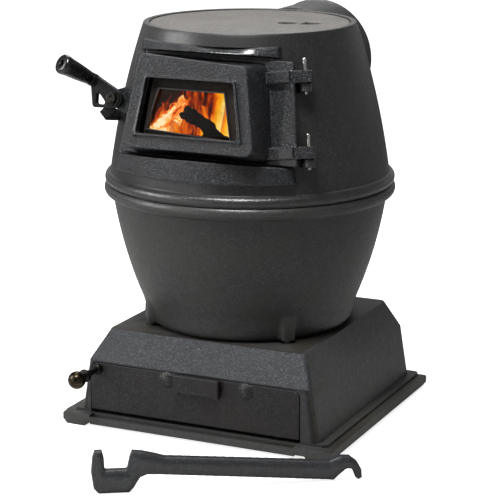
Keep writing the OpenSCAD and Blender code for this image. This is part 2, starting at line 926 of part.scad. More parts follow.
module door_frame() {
    z0 = frame_low - 20;
    z1 = frame_high + 20;
    inner_w = frame_half_w - frame_lip - fit;
    color(iron)
    difference() {
        union() {
            // raised border that laps over the barrel
            difference() {
                intersection() {
                    upper_solid(frame_proud, z0, z1);
                    frame_wedge(frame_half_w, frame_low, frame_high);
                }
                upper_solid(fit / 2, z0 - cut, z1 + cut);
            }
            // wall that fills the barrel's opening
            difference() {
                intersection() {
                    upper_solid(frame_proud - cut, z0, z1);
                    frame_wedge(inner_w, frame_low + frame_lip + fit, frame_high - frame_lip - fit);
                }
                difference() {
                    upper_solid(-wall, z0 - cut, z1 + cut);
                    on_door_plane()
                        translate([-belt_r, pocket_v0 - frame_plate_t, -frame_plate_t])
                            cube([2 * belt_r, pocket_h + 2 * frame_plate_t, belt_r]);
                }
            }
        }
        // flat-floored pocket for the door
        on_door_plane()
            translate([-belt_r, pocket_v0, 0])
                cube([2 * belt_r, pocket_h, belt_r]);
        // feed opening
        on_door_plane()
            translate([0, 0, -frame_plate_t - cut])
                linear_extrude(frame_plate_t + 2 * cut)
                    taper_area(feed_half_w, feed_taper, feed_v0, feed_v1, 8);
    }
}

// ---------- feed door ----------
plate_v0 = pocket_v0 + 2.5;
plate_v1 = pocket_v1 - 4;
plate_left = 115.8;
plate_right = 134;
plate_taper = 0.119;
box_half_w = 99.5;
box_v0 = -77;
box_v1 = 57;
face_v0 = -68;
face_v1 = 51;
face_taper = 0.16;
door_wall = 6;
window_v = -10;
window_taper = 0.15;
bead_w = 5;

hinge_x = 143;
hinge_w = 12;
hinge_lean = 7.6;
eye_r = 10;
lug_mid = -6.8;
ear_h = 12;
lug_levels = [lug_mid - lug_span / 2 - lug_h / 2, lug_mid + lug_span / 2 - lug_h / 2];
ear_levels = [for (s = lug_levels) s - slip - ear_h];

// Place a piece on the hinge axis: z up the axis, -y out of the stove
module hinge_place(s) {
    on_door_plane()
        translate([hinge_x, 0, -hinge_w])
            rotate([0, 0, hinge_lean])
                translate([0, s, 0])
                    rotate([-90, 0, 0])
                        children();
}

// Eye on the barrel that holds a hinge pin, with its arm back to the wall
module ear_solid() {
    linear_extrude(ear_h)
        hull() {
            circle(r = eye_r - 1, $fn = small_fn);
            translate([-19, 17])
                circle(r = eye_r - 3, $fn = small_fn);
        }
}

module lug_solid() {
    w0 = hinge_w + door_gap;
    w1 = w0 + door_plate_t + 7;
    linear_extrude(lug_h)
        union() {
            hull() {
                circle(r = eye_r, $fn = small_fn);
                translate([eye_r - 0.5, 4 - eye_r])
                    circle(r = 3, $fn = small_fn);
                translate([-18, -w0 - 9])
                    square([8, 9]);
            }
            translate([-50, -w1])
                square([38, w1 - w0]);
        }
}

module plate_area() {
    v0 = plate_v0;
    v1 = plate_v1;
    offset(r = 4, $fn = soft_fn)
        offset(delta = -4)
            polygon([[-plate_left + plate_taper * v0, v0], [plate_right - plate_taper * v0, v0],
                     [plate_right - plate_taper * v1, v1], [-plate_left + plate_taper * v1, v1]]);
}

// Raised box of the door
module door_box() {
    hull() {
        translate([0, 0, door_gap + cut])
            linear_extrude(skin)
                taper_area(box_half_w, plate_taper, box_v0, box_v1, 12);
        translate([0, 0, face_out - skin])
            linear_extrude(skin)
                taper_area(face_half_w, face_taper, face_v0, face_v1, 12);
    }
}

// Hollow of the box, open at the back over the feed opening
module door_hollow() {
    hull() {
        translate([0, 0, -cut])
            linear_extrude(skin)
                taper_area(feed_half_w + 2, feed_taper, feed_v0 - 2, feed_v1 + 2, 10);
        translate([0, 0, face_out - door_wall - skin])
            linear_extrude(skin)
                taper_area(face_half_w - door_wall, face_taper, face_v0 + door_wall,
                           face_v1 - door_wall, 10);
    }
}

module window_area(grow) {
    taper_area(window_half_w + grow, window_taper, window_v - window_h / 2 - grow,
               window_v + window_h / 2 + grow, 4);
}

latch_x = -134;
latch_v = -5;
latch_r = 4;
ear_r = 13;
ear_boss = 2;
pane_grow = 5;
gasket_t = 3;
retainer_t = 3;
retainer_grow = 11;
retainer_screw_r = 1.5;
pane_w1 = face_out - door_wall - gasket_t;
pane_w0 = pane_w1 - glass_t;

module feed_door() {
    color(iron)
    on_door_plane()
        difference() {
            union() {
                translate([0, 0, door_gap])
                    linear_extrude(door_plate_t)
                        plate_area();
                door_box();
                for (s = lug_levels)
                    translate([hinge_x, 0, -hinge_w])
                        rotate([0, 0, hinge_lean])
                            translate([0, s, 0])
                                rotate([-90, 0, 0])
                                    lug_solid();
                // bead round the window
                translate([0, 0, face_out - cut])
                    linear_extrude(cut + 3)
                        window_area(bead_w);
                // ear that carries the latch
                translate([0, 0, door_gap])
                    linear_extrude(door_plate_t)
                        hull() {
                            translate([latch_x, latch_v])
                                circle(r = ear_r, $fn = small_fn);
                            translate([latch_x + 24, latch_v - 22])
                                square([8, 44]);
                        }
                translate([latch_x, latch_v, door_gap])
                    cylinder(r = ear_r - 3, h = door_plate_t + ear_boss, $fn = small_fn);
                for (x = retainer_xs, v = retainer_vs)
                    translate([x, v, retainer_w0 + retainer_t])
                        cylinder(r = 2.8, h = face_out - door_wall / 2 - retainer_w0 - retainer_t,
                                 $fn = small_fn);
            }
            door_hollow();
            translate([0, 0, door_gap - cut])
                linear_extrude(rope_depth + cut)
                    seal_area(fit / 2);
            for (s = lug_levels)
                translate([hinge_x, 0, -hinge_w])
                    rotate([0, 0, hinge_lean])
                        translate([0, s - cut, 0])
                            rotate([-90, 0, 0])
                                cylinder(r = pin_r + run, h = lug_h + 2 * cut, $fn = small_fn);
            translate([0, 0, face_out - door_wall - cut])
                linear_extrude(door_wall + 3 + 2 * cut)
                    window_area(0);
            translate([latch_x, latch_v, 0])
                cylinder(r = latch_r + run, h = 40, $fn = small_fn);
            for (x = retainer_xs, v = retainer_vs)
                translate([x, v, retainer_w0])
                    cylinder(r = retainer_screw_r + run, h = retainer_t + 6, $fn = small_fn);
        }
}

retainer_w0 = pane_w0 - fit - retainer_t;
retainer_xs = [-56, 56];
retainer_vs = [window_v - window_h / 2 - 8, window_v + window_h / 2 + 8];

// Ring that the door's rope seal lies in, grown sideways by grow
module seal_area(grow) {
    difference() {
        taper_area(feed_half_w + rope_in + rope_w + grow, feed_taper,
                   feed_v0 - rope_in - rope_w - grow, feed_v1 + rope_in + rope_w + grow, 10);
        taper_area(feed_half_w + rope_in - grow, feed_taper,
                   feed_v0 - rope_in + grow, feed_v1 + rope_in - grow, 8);
    }
}

module door_gasket() {
    color([0.2, 0.2, 0.2])
    on_door_plane()
        translate([0, 0, fit])
            linear_extrude(door_gap + rope_depth - fit)
                seal_area(0);
}

module window_gasket() {
    color([0.7, 0.68, 0.62])
    on_door_plane()
        translate([0, 0, pane_w1])
            linear_extrude(gasket_t)
                difference() {
                    window_area(pane_grow);
                    window_area(1);
                }
}

module window_glass() {
    color([0.9, 0.5, 0.2, 0.5])
    on_door_plane()
        translate([0, 0, pane_w0])
            linear_extrude(glass_t)
                window_area(pane_grow);
}

module glass_retainer() {
    color(dark_iron)
    on_door_plane()
        translate([0, 0, retainer_w0])
            difference() {
                linear_extrude(retainer_t)
                    difference() {
                        window_area(retainer_grow);
                        window_area(-1);
                    }
                for (x = retainer_xs, v = retainer_vs)
                    translate([x, v, -cut])
                        cylinder(r = retainer_screw_r + run, h = retainer_t + 2 * cut,
                                 $fn = small_fn);
            }
}

module retainer_screws() {
    color(steel)
    on_door_plane()
        for (x = retainer_xs, v = retainer_vs)
            translate([x, v, retainer_w0 - 2.5]) {
                cylinder(r = 3, h = 2.5 - fit / 2, $fn = small_fn);
                cylinder(r = retainer_screw_r, h = 2.5 + retainer_t + 5, $fn = small_fn);
            }
}

// ---------- hinge pins ----------
module hinge_pin(s) {
    stand = 15;
    length = ear_h + slip + lug_h + stand;
    color(steel)
    hinge_place(s - 3) {
        cylinder(r = pin_r, h = length + 3, $fn = small_fn);
        translate([0, 0, length + 3])
            sphere(r = pin_r + 0.4, $fn = small_fn);
    }
}

module hinge_pin_upper() {
    hinge_pin(ear_levels[1]);
}

module hinge_pin_lower() {
    hinge_pin(ear_levels[0]);
}

// ---------- door latch ----------
hook_w0 = -8.5;
hook_t = 5;
hook_rest = 150;
catch_turn = 225;
washer_t = 1.5;
arm_w0 = door_gap + door_plate_t + ear_boss + washer_t + 1.5 * fit;

module on_latch(w) {
    on_door_plane()
        translate([latch_x, latch_v, w])
            children();
}

module latch_hook() {
    color(iron)
    on_latch(hook_w0)
        rotate(hook_rest)
            difference() {
                linear_extrude(hook_t)
                    union() {
                        circle(r = 8, $fn = small_fn);
                        translate([0, -5.5])
                            square([hook_l, 11]);
                    }
                translate([0, 0, -cut])
                    cylinder(r = latch_r + run, h = hook_t + 2 * cut, $fn = small_fn);
            }
}

module latch_catch() {
    half = 8;
    post = hook_l + 2.5;
    roof_w = hook_w0 + hook_t + slip;
    color(iron)
    difference() {
        on_latch(0)
            rotate(catch_turn) {
                translate([post, -half, -60])
                    cube([8, 2 * half, roof_w + 60]);
                translate([ear_r + 2, -half, roof_w])
                    cube([post + 8 - ear_r - 2, 2 * half, 5]);
            }
        upper_solid(fit / 2, joint_z, stove_h);
    }
}

module latch_bolt() {
    color(dark_iron)
    on_latch(hook_w0) {
        cylinder(r = latch_r, h = arm_w0 + arm_t + washer_t + 2 * fit - hook_w0, $fn = small_fn);
        translate([0, 0, arm_w0 + arm_t + washer_t + fit - hook_w0])
            cylinder(r = 7, h = 5, $fn = 6);
    }
}

module latch_washers() {
    color(steel)
    for (w = [arm_w0 - washer_t - fit / 2, arm_w0 + arm_t + fit / 2])
        on_latch(w)
            difference() {
                cylinder(r = 10.5, h = washer_t, $fn = small_fn * 2);
                translate([0, 0, -cut])
                    cylinder(r = latch_r + run, h = washer_t + 2 * cut, $fn = small_fn);
            }
}

grip_x = -34;
grip_v = 23;
grip_polar = 31.9;
grip_turn = 140.1;

// Place a piece on the grip's axis, z pointing out along the grip
module on_grip(reach) {
    on_latch(arm_w0 + arm_t / 2)
        translate([grip_x, grip_v, 0])
            rotate([0, grip_polar, grip_turn])
                translate([0, 0, reach])
                    children();
}

module latch_arm() {
    color(iron)
    difference() {
        union() {
            on_latch(arm_w0)
                linear_extrude(arm_t)
                    difference() {
                        hull() {
                            circle(r = 13, $fn = small_fn);
                            translate([grip_x + 3, grip_v])
                                circle(r = 7, $fn = small_fn);
                            translate([-28, -9])
                                circle(r = 5, $fn = small_fn);
                        }
                        offset(r = 3, $fn = soft_fn)
                            polygon([[-24, 3], [-24, -6], [-16, -6]]);
                    }
            on_grip(-3)
                cylinder(r = grip_r1 + 0.5, h = 11, $fn = small_fn * 2);
        }
        on_latch(arm_w0 - cut)
            cylinder(r = latch_r + run, h = arm_t + 2 * cut, $fn = small_fn);
        on_grip(-cut)
            cylinder(r = 3 + fit, h = 14, $fn = small_fn);
    }
}

module latch_grip() {
    color([0.04, 0.04, 0.045])
    on_grip(8 + fit)
        rotate_extrude($fn = small_fn * 2)
            polygon(concat([[3 + fit, 0], [grip_r1, 0], [grip_r1 + 0.6, 2],
                            [grip_r2 - 1, grip_l * 0.72]],
                           corner([grip_r2 - 5, grip_l - 6], 5.5, 5, 85, 6),
                           [[3 + fit, grip_l - 0.5]]));
}

module grip_screw() {
    color(steel)
    on_grip(0) {
        cylinder(r = 3, h = grip_l + 8 + fit, $fn = small_fn);
        translate([0, 0, grip_l + 8 + fit])
            cylinder(r = 5, h = 3, $fn = small_fn);
    }
}

// ---------- lid lifter ----------
lifter_x = 13.6;
lifter_y = -398;
lifter_turn = 34;

module lifter_area() {
    bar_end = 38 + lifter_bar_l;
    polygon([[-48, 8], [-42, 1], [-2, 0], [5, 7], [13, 20], [22, 23.5], [38, 22.5], [bar_end, 2],
             [bar_end + 6, 1], [bar_end + 14, 8], [bar_end + 24, 16], [bar_end + 31, 15],
             [bar_end + 36, 3], [bar_end + 40, 0], [bar_end + 45, 3], [bar_end + 44, 14],
             [bar_end + 38, 25], [bar_end + 28, 33], [bar_end + 16, 34], [bar_end, 28],
             [45, 47], [32, 51], [17, 55], [3, 57], [0, 50], [-4, 32], [-33, 33], [-34, 50],
             [-36, 59], [-46, 59], [-49, 50], [-51, 30]]);
}

module lid_lifter() {
    color(iron)
    translate([lifter_x, lifter_y, 0])
        rotate(lifter_turn)
            translate([0, lifter_t, 0])
                rotate([90, 0, 0])
                    linear_extrude(lifter_t)
                        lifter_area();
}

base_plate();
base_screws();
base_shell();
drawer_front();
ash_pan();
pan_rivets();
draft_rivets();
draft_slide();
draft_keeper();
ash_spindle();
ash_knob();
ash_collar();
ash_cam();
pot();
pot_bolts();
grate_ring();
shaker_grate();
belt_seal();
upper_body();
lid();
flue_collar();
collar_bolts();
door_frame();
feed_door();
door_gasket();
window_gasket();
window_glass();
glass_retainer();
retainer_screws();
hinge_pin_upper();
hinge_pin_lower();
latch_catch();
latch_bolt();
latch_washers();
latch_arm();
latch_grip();
grip_screw();
latch_hook();
lid_lifter();
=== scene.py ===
"""Cast iron potbelly stove with a lit fire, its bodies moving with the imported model.

Lengths and places are in mm and become metres where they are multiplied by MM.
"""
import logging
import math
import random
from dataclasses import dataclass, field
from enum import Enum
from typing import Any, Callable, Iterable, Sequence

import bmesh
import bpy
from mathutils import Matrix, Vector, noise


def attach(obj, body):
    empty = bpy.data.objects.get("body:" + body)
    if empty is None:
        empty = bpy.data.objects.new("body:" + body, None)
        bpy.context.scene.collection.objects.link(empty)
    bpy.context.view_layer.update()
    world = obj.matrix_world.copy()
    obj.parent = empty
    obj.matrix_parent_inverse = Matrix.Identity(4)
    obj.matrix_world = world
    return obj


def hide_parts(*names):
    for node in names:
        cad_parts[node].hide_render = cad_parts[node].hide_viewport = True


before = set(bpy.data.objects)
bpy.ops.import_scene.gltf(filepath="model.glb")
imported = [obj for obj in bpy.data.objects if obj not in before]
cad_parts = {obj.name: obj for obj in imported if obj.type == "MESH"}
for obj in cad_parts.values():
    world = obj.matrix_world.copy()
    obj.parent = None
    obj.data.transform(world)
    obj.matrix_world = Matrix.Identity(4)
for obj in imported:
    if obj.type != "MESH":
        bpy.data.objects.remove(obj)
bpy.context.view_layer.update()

MM = 0.001
LOG = logging.getLogger("stove")

BMesh = bmesh.types.BMesh
Object = bpy.types.Object
Tree = bpy.types.NodeTree
Socket = bpy.types.NodeSocket
Profile = Sequence[tuple[float, float]]

# Sockets of a Mix node that mixes two colours.
MIX_SHARE, MIX_UNDER, MIX_OVER, MIX_RESULT = 0, 6, 7, 2

# The door's plane: a point of it in mm, and how many degrees it stands up from level.
DOOR_Y, DOOR_Z, DOOR_LEAN = -139.551, 476.0, 80.2
# The hinge's axis in that plane: how far aside and out of it in mm, and its lean in degrees.
HINGE_X, HINGE_W, HINGE_LEAN = 143, -12, 7.6
# The latch's pivot in that plane, in mm.
PIVOT_X, PIVOT_V = -134, -5
# The grip's root from the pivot in mm, and how it turns and tilts in degrees.
GRIP_X, GRIP_V, GRIP_W, GRIP_TURN, GRIP_TILT = -34, 23, 16.95, 140.1, 31.9


# ---------------------------------------------------------------- shading
def linear(hex_code: str) -> tuple[float, float, float, float]:
    """Turn an sRGB colour into the linear one that a socket takes.

    Args:
        hex_code: Six hex digits.

    Returns:
        Linear red, green, blue and an alpha of 1.
    """
    parts = [int(hex_code[i:i + 2], 16) / 255 for i in (0, 2, 4)]
    low = [c / 12.92 if c <= 0.04045 else ((c + 0.055) / 1.055) ** 2.4 for c in parts]
    return (low[0], low[1], low[2], 1.0)


def add_node(tree: Tree, kind: str, settings: dict[str, Any] | None = None,
             links: dict[int | str, Any] | None = None) -> bpy.types.Node:
    """Add a shader node with its settings and what goes into its sockets.

    Args:
        tree: Node tree that the node joins.
        kind: Node type without the word ShaderNode in front.
        settings: Attributes of the node; "stops" holds a ramp's positions and colours.
        links: Input name or number, and a socket to link or a value to set.

    Returns:
        The new node.
    """
    node = tree.nodes.new("ShaderNode" + kind)
    for key, value in (settings or {}).items():
        if key != "stops":
            setattr(node, key, value)
            continue
        ramp = node.color_ramp.elements
        ramp.remove(ramp[1])
        ramp[0].position = value[0][0]
        for place, colour in value:
            stop = ramp[0] if place == value[0][0] else ramp.new(place)
            stop.color = linear(colour)
    for key, value in (links or {}).items():
        if isinstance(value, Socket):
            tree.links.new(value, node.inputs[key])
        else:
            node.inputs[key].default_value = value
    return node


def fresh_material(name: str) -> tuple[bpy.types.Material, Tree]:
    """Make an empty node material.

    Args:
        name: Its name.

    Returns:
        The material and its tree.
    """
    material = bpy.data.materials.new(name)
    material.use_nodes = True
    material.node_tree.nodes.clear()
    return material, material.node_tree


class Finish:
    """A finish that makes its material the first time that a piece asks for it."""

    made: dict[str, bpy.types.Material] = {}

    def material(self) -> bpy.types.Material:
        """Give the finish's material, the same one for every piece.

        Returns:
            The material.
        """
        name = getattr(self, "name")
        if name not in Finish.made:
            material, tree = fresh_material(name)
            shader = self.shade(tree, add_node(tree, "TexCoord").outputs["Object"])
            add_node(tree, "OutputMaterial", links={"Surface": shader})
            Finish.made[name] = material
        return Finish.made[name]

    def shade(self, tree: Tree, where: Socket) -> Socket:
        """Build the nodes and return the closing shader socket."""
        raise NotImplementedError


@dataclass(frozen=True)
class CastIron(Finish):
    """Grey iron poured in green sand and brushed with stove black.

    The eye sees a dull, slightly uneven black with a skin of fine pits that the sand leaves. The
    black fills the pits and rubs off on edges, where the grey iron shows; the lighter edges are also
    a painted highlight where rounded edges catch the light. Real grit is 0.2 to 0.5 mm wide, too
    fine for the picture, so it is drawn 1.2 to 2.8 mm wide.
    """

    name: str
    deep: str
    face: str
    tint: str
    worn: str = "3f4144"
    grit_mm: float = 1.5
    mottle_mm: float = 9
    cloud_mm: float = 70
    lump_mm: float = 3.2
    wave_long_mm: float = 22
    pit_mm: float = 0.12
    wave_mm: float = 0.35
    lump_high_mm: float = 2.8
    rough: float = 0.5
    gloss: float = 0.35
    wear: float = 0.5
    tint_share: float = 0.3

    def shade(self, tree: Tree, where: Socket) -> Socket:
        """Layer grit, mottling and rubbed edges over the black.

        Args:
            tree: The material's tree.
            where: Object coordinates in metres.

        Returns:
            The shader socket.
        """
        grit = add_node(tree, "TexNoise", {}, {
            "Vector": where, "Scale": 1 / (self.grit_mm * MM), "Detail": 3.0, "Roughness": 0.65})
        mottle = add_node(tree, "TexNoise", {}, {
            "Vector": where, "Scale": 1 / (self.mottle_mm * MM), "Detail": 4.0, "Roughness": 0.6})
        cloud = add_node(tree, "TexNoise", {}, {
            "Vector": where, "Scale": 1 / (self.cloud_mm * MM), "Detail": 2.0, "Roughness": 0.5})
        mixed = add_node(tree, "Math", {"operation": "MULTIPLY_ADD"},
                         {0: mottle.outputs["Fac"], 1: 0.25, 2: grit.outputs["Fac"]})
        skin = add_node(tree, "ValToRGB", {"stops": [
            (0.4, self.deep), (0.62, self.face), (0.9, self.worn)]}, {"Fac": mixed.outputs[0]})
        share = add_node(tree, "MapRange", {}, {
            "Value": cloud.outputs["Fac"], "From Min": 0.42, "From Max": 0.64,
            "To Max": self.tint_share})
        tinted = add_node(tree, "Mix", {"data_type": "RGBA"}, {
            MIX_SHARE: share.outputs[0], MIX_UNDER: skin.outputs["Color"],
            MIX_OVER: linear(self.tint)})
        # Convex edges turn towards the worn grey: rubbed paint, and also a painted highlight along
        # the edges.
        edge = add_node(tree, "NewGeometry")
        rubbed = add_node(tree, "MapRange", {"interpolation_type": "SMOOTHSTEP"}, {
            "Value": edge.outputs["Pointiness"], "From Min": 0.512, "From Max": 0.56,
            "To Max": self.wear})
        broken = add_node(tree, "Math", {"operation": "MULTIPLY", "use_clamp": True},
                          {0: rubbed.outputs[0], 1: mottle.outputs["Fac"]})
        bare = add_node(tree, "Math", {"operation": "MULTIPLY", "use_clamp": True},
                        {0: broken.outputs[0], 1: 1.8})
        colour = add_node(tree, "Mix", {"data_type": "RGBA"}, {
            MIX_SHARE: bare.outputs[0], MIX_UNDER: tinted.outputs[MIX_RESULT],
            MIX_OVER: linear(self.worn)})
        sand = add_node(tree, "MapRange", {}, {
            "Value": mixed.outputs[0], "From Min": 0.4, "From Max": 0.85,
            "To Min": self.rough + 0.1, "To Max": self.rough - 0.1})
        handled = add_node(tree, "Attribute", {"attribute_name": "rubbed"})
        roughness = add_node(tree, "Math", {"operation": "MULTIPLY_ADD"},
                             {0: handled.outputs["Fac"], 1: -0.16, 2: sand.outputs[0]})
        waves = add_node(tree, "TexNoise", {}, {
            "Vector": where, "Scale": 1 / (self.wave_long_mm * MM), "Detail": 1.0,
            "Roughness": 0.4})
        far = add_node(tree, "Bump", {}, {"Strength": 0.5, "Distance": self.wave_mm * MM,
                                         "Height": waves.outputs["Fac"]})
        near = add_node(tree, "Bump", {}, {"Strength": 1.0, "Distance": self.pit_mm * MM,
                                          "Height": mixed.outputs[0], "Normal": far.outputs[0]})
        lumps = add_node(tree, "TexNoise", {}, {
            "Vector": where, "Scale": 1 / (self.lump_mm * MM), "Detail": 2.0, "Roughness": 0.5})
        lumpy = add_node(tree, "Bump", {}, {
            "Strength": handled.outputs["Fac"], "Distance": self.lump_high_mm * MM,
            "Height": lumps.outputs["Fac"], "Normal": near.outputs[0]})
        polish = add_node(tree, "Math", {"operation": "MULTIPLY"},
                          {0: handled.outputs["Fac"], 1: 0.8})
        shader = add_node(tree, "BsdfPrincipled", {}, {
            "Base Color": colour.outputs[MIX_RESULT], "Roughness": roughness.outputs[0],
            "Specular IOR Level": self.gloss, "Coat Weight": polish.outputs[0],
            "Coat Roughness": 0.2, "Normal": lumpy.outputs[0]})
        return shader.outputs[0]


@dataclass(frozen=True)
class Steel(Finish):
    """Drawn or turned metal, bare or oil blackened.

    The eye sees a soft sheen broken by patches of tarnish. Real tool marks are 0.1 to 0.2 mm
    apart, too fine for the picture, so marks are drawn 0.8 to 2 mm apart.
    """

    name: str
    bright: str
    dull: str
    rough: float
    tarnish_mm: float = 5
    mark_mm: float = 0.8
    mark_high_mm: float = 0.04

    def shade(self, tree: Tree, where: Socket) -> Socket:
        """Mix two greys by a patchy tarnish and roughen it by fine marks.

        Args:
            tree: The material's tree.
            where: Object coordinates in metres.

        Returns:
            The shader socket.
        """
        tarnish = add_node(tree, "TexNoise", {}, {
            "Vector": where, "Scale": 1 / (self.tarnish_mm * MM), "Detail": 4.0,
            "Roughness": 0.6})
        marks = add_node(tree, "TexNoise", {}, {
            "Vector": where, "Scale": 1 / (self.mark_mm * MM), "Detail": 2.0})
        colour = add_node(tree, "ValToRGB", {"stops": [(0.35, self.dull), (0.6, self.bright)]},
                          {"Fac": tarnish.outputs["Fac"]})
        roughness = add_node(tree, "MapRange", {}, {
            "Value": tarnish.outputs["Fac"], "From Min": 0.3, "From Max": 0.7,
            "To Min": self.rough + 0.14, "To Max": self.rough - 0.06})
        bump = add_node(tree, "Bump", {}, {"Strength": 0.6, "Distance": self.mark_high_mm * MM,
                                          "Height": marks.outputs["Fac"]})
        shader = add_node(tree, "BsdfPrincipled", {}, {
            "Base Color": colour.outputs["Color"], "Metallic": 1.0,
            "Roughness": roughness.outputs[0], "Normal": bump.outputs[0]})
        return shader.outputs[0]


@dataclass(frozen=True)
class Phenolic(Finish):
    """Moulded phenolic.

    The eye sees a deep glossy black whose shine is dulled in patches by handling.
    """

    name: str = "Moulded_phenolic_black"
    scuff_mm: float = 6
    scuff_high_mm: float = 0.1
    ior: float = 1.55

    def shade(self, tree: Tree, where: Socket) -> Socket:
        """Keep the black deep and let scuffs vary only the gloss.

        Args:
            tree: The material's tree.
            where: Object coordinates in metres.

        Returns:
            The shader socket.
        """
        scuff = add_node(tree, "TexNoise", {}, {
            "Vector": where, "Scale": 1 / (self.scuff_mm * MM), "Detail": 5.0,
            "Roughness": 0.65})
        colour = add_node(tree, "ValToRGB", {"stops": [(0.35, "070708"), (0.75, "131416")]},
                          {"Fac": scuff.outputs["Fac"]})
        roughness = add_node(tree, "MapRange", {}, {
            "Value": scuff.outputs["Fac"], "From Min": 0.35, "From Max": 0.7,
            "To Min": 0.16, "To Max": 0.34})
        bump = add_node(tree, "Bump", {}, {"Strength": 0.3, "Distance": self.scuff_high_mm * MM,
                                          "Height": scuff.outputs["Fac"]})
        shader = add_node(tree, "BsdfPrincipled", {}, {
            "Base Color": colour.outputs["Color"], "Roughness": roughness.outputs[0],
            "IOR": self.ior, "Normal": bump.outputs[0]})
        return shader.outputs[0]


@dataclass(frozen=True)
class GlassRope(Finish):
    """Braided glass-fibre rope.

    The eye sees off-white strands that cross each other, with soot in the hollows between them.
    Real strands are finer than 1 mm and are drawn nearly 2 mm wide, so that they show.
    """

    name: str = "Glass_fibre_rope_seal"
    clean: str = "a9a69c"
    sooty: str = "3a3936"
    strand_mm: float = 1.6
    strand_high_mm: float = 0.6
    turned: tuple[float, float, float] = (0.4, 1.3, 1.57)

    def shade(self, tree: Tree, where: Socket) -> Socket:
        """Cross two bands of strands and soil the hollows between them.

        Args:
            tree: The material's tree.
            where: Object coordinates in metres.

        Returns:
            The shader socket.
        """
        # A wave at scale 1 repeats every 0.36 m, so a sixth makes each light band a strand wide.
        scale = 1 / (self.strand_mm * MM) / 6
        turned = add_node(tree, "Mapping", {}, {"Vector": where, "Rotation": self.turned})
        one, two = (add_node(
            tree, "TexWave", {"wave_type": "BANDS", "bands_direction": "DIAGONAL"},
            {"Vector": along, "Scale": scale, "Distortion": 1.5, "Detail": 1.0})
            for along in (where, turned.outputs[0]))
        braid = add_node(tree, "Math", {"operation": "MULTIPLY"},
                         {0: one.outputs["Fac"], 1: two.outputs["Fac"]})
        colour = add_node(tree, "ValToRGB", {"stops": [(0.1, self.sooty), (0.6, self.clean)]},
                          {"Fac": braid.outputs[0]})
        bump = add_node(tree, "Bump", {}, {"Strength": 1.0, "Distance": self.strand_high_mm * MM,
                                          "Height": braid.outputs[0]})
        shader = add_node(tree, "BsdfPrincipled", {}, {
            "Base Color": colour.outputs["Color"], "Roughness": 0.9,
            "Specular IOR Level": 0.2, "Sheen Weight": 0.3, "Normal": bump.outputs[0]})
        return shader.outputs[0]


@dataclass(frozen=True)
class HeatGlass(Finish):
    """Rolled ceramic pane.

    The eye sees the fire through it, faintly amber, darkened along its edges by soot on its cooler
    edges and, widest on the left and top, by a painted shade of the recess round it. half_mm is half
    its width at the door's plane point, and narrowing how much less each mm up takes off; foot_mm
    and top_mm are its reach down and up from there. Each pair of soot_and_shade_mm holds how far
    from the left, right, lower and upper edge the darkening starts to thin and ends.
    """

    name: str = "Ceramic_heat_glass"
    half_mm: float = 69
    narrowing: float = 0.15
    foot_mm: float = 48
    top_mm: float = 28
    haze_mm: float = 16
    soot_and_shade_mm: tuple[tuple[float, float], ...] = ((5, 13), (0, 4), (0, 4), (4, 12))

    def shade(self, tree: Tree, where: Socket) -> Socket:
        """Let the fire show through and reflect a little of the room.

        Args:
            tree: The material's tree.
            where: Object coordinates in metres.

        Returns:
            The shader socket.
        """
        lean = math.radians(DOOR_LEAN)
        climb = Vector((0, math.cos(lean), math.sin(lean)))
        middle = climb.dot(Vector((0, DOOR_Y, DOOR_Z))) * MM
        haze = add_node(tree, "TexNoise", {}, {
            "Vector": where, "Scale": 1 / (self.haze_mm * MM), "Detail": 4.0, "Roughness": 0.6})
        split = add_node(tree, "SeparateXYZ", {}, {0: where})
        slope = add_node(tree, "VectorMath", {"operation": "DOT_PRODUCT"},
                         {0: where, 1: climb})
        up = add_node(tree, "Math", {"operation": "SUBTRACT"},
                      {0: slope.outputs["Value"], 1: middle})
        half = add_node(tree, "Math", {"operation": "MULTIPLY_ADD"},
                        {0: up.outputs[0], 1: -self.narrowing, 2: self.half_mm * MM})
        gaps = [add_node(tree, "Math", {"operation": operation}, {0: first, 1: second})
                for operation, first, second in (
                    ("ADD", half.outputs[0], split.outputs["X"]),
                    ("SUBTRACT", half.outputs[0], split.outputs["X"]),
                    ("ADD", up.outputs[0], self.foot_mm * MM),
                    ("SUBTRACT", self.top_mm * MM, up.outputs[0]))]
        # Soot, and on the left and top a painted shade of the recess, darken the fire along the
        # pane's edges.
        rims = [add_node(tree, "MapRange", {"interpolation_type": "SMOOTHSTEP"}, {
            "Value": gap.outputs[0], "From Min": low * MM, "From Max": high * MM})
            for gap, (low, high) in zip(gaps, self.soot_and_shade_mm)]
        clean = rims[0].outputs[0]
        for rim in rims[1:]:
            clean = add_node(tree, "Math", {"operation": "MULTIPLY"},
                             {0: clean, 1: rim.outputs[0]}).outputs[0]
        film = add_node(tree, "MapRange", {}, {
            "Value": haze.outputs["Fac"], "From Min": 0.3, "From Max": 0.7,
            "To Min": 0.86, "To Max": 1.0})
        level = add_node(tree, "Math", {"operation": "MULTIPLY"},
                         {0: clean, 1: film.outputs[0]})
        clear = add_node(tree, "ValToRGB", {"stops": [
            (0.0, "060505"), (0.5, "a08a7c"), (1.0, "fff8ee")]}, {"Fac": level.outputs[0]})
        through = add_node(tree, "BsdfTransparent", {}, {"Color": clear.outputs["Color"]})
        shine = add_node(tree, "BsdfGlossy", {}, {"Roughness": 0.25,
                                                 "Color": linear("8c8c8c")})
        mix = add_node(tree, "MixShader", {}, {0: 0.02, 1: through.outputs[0],
                                              2: shine.outputs[0]})
        return mix.outputs[0]


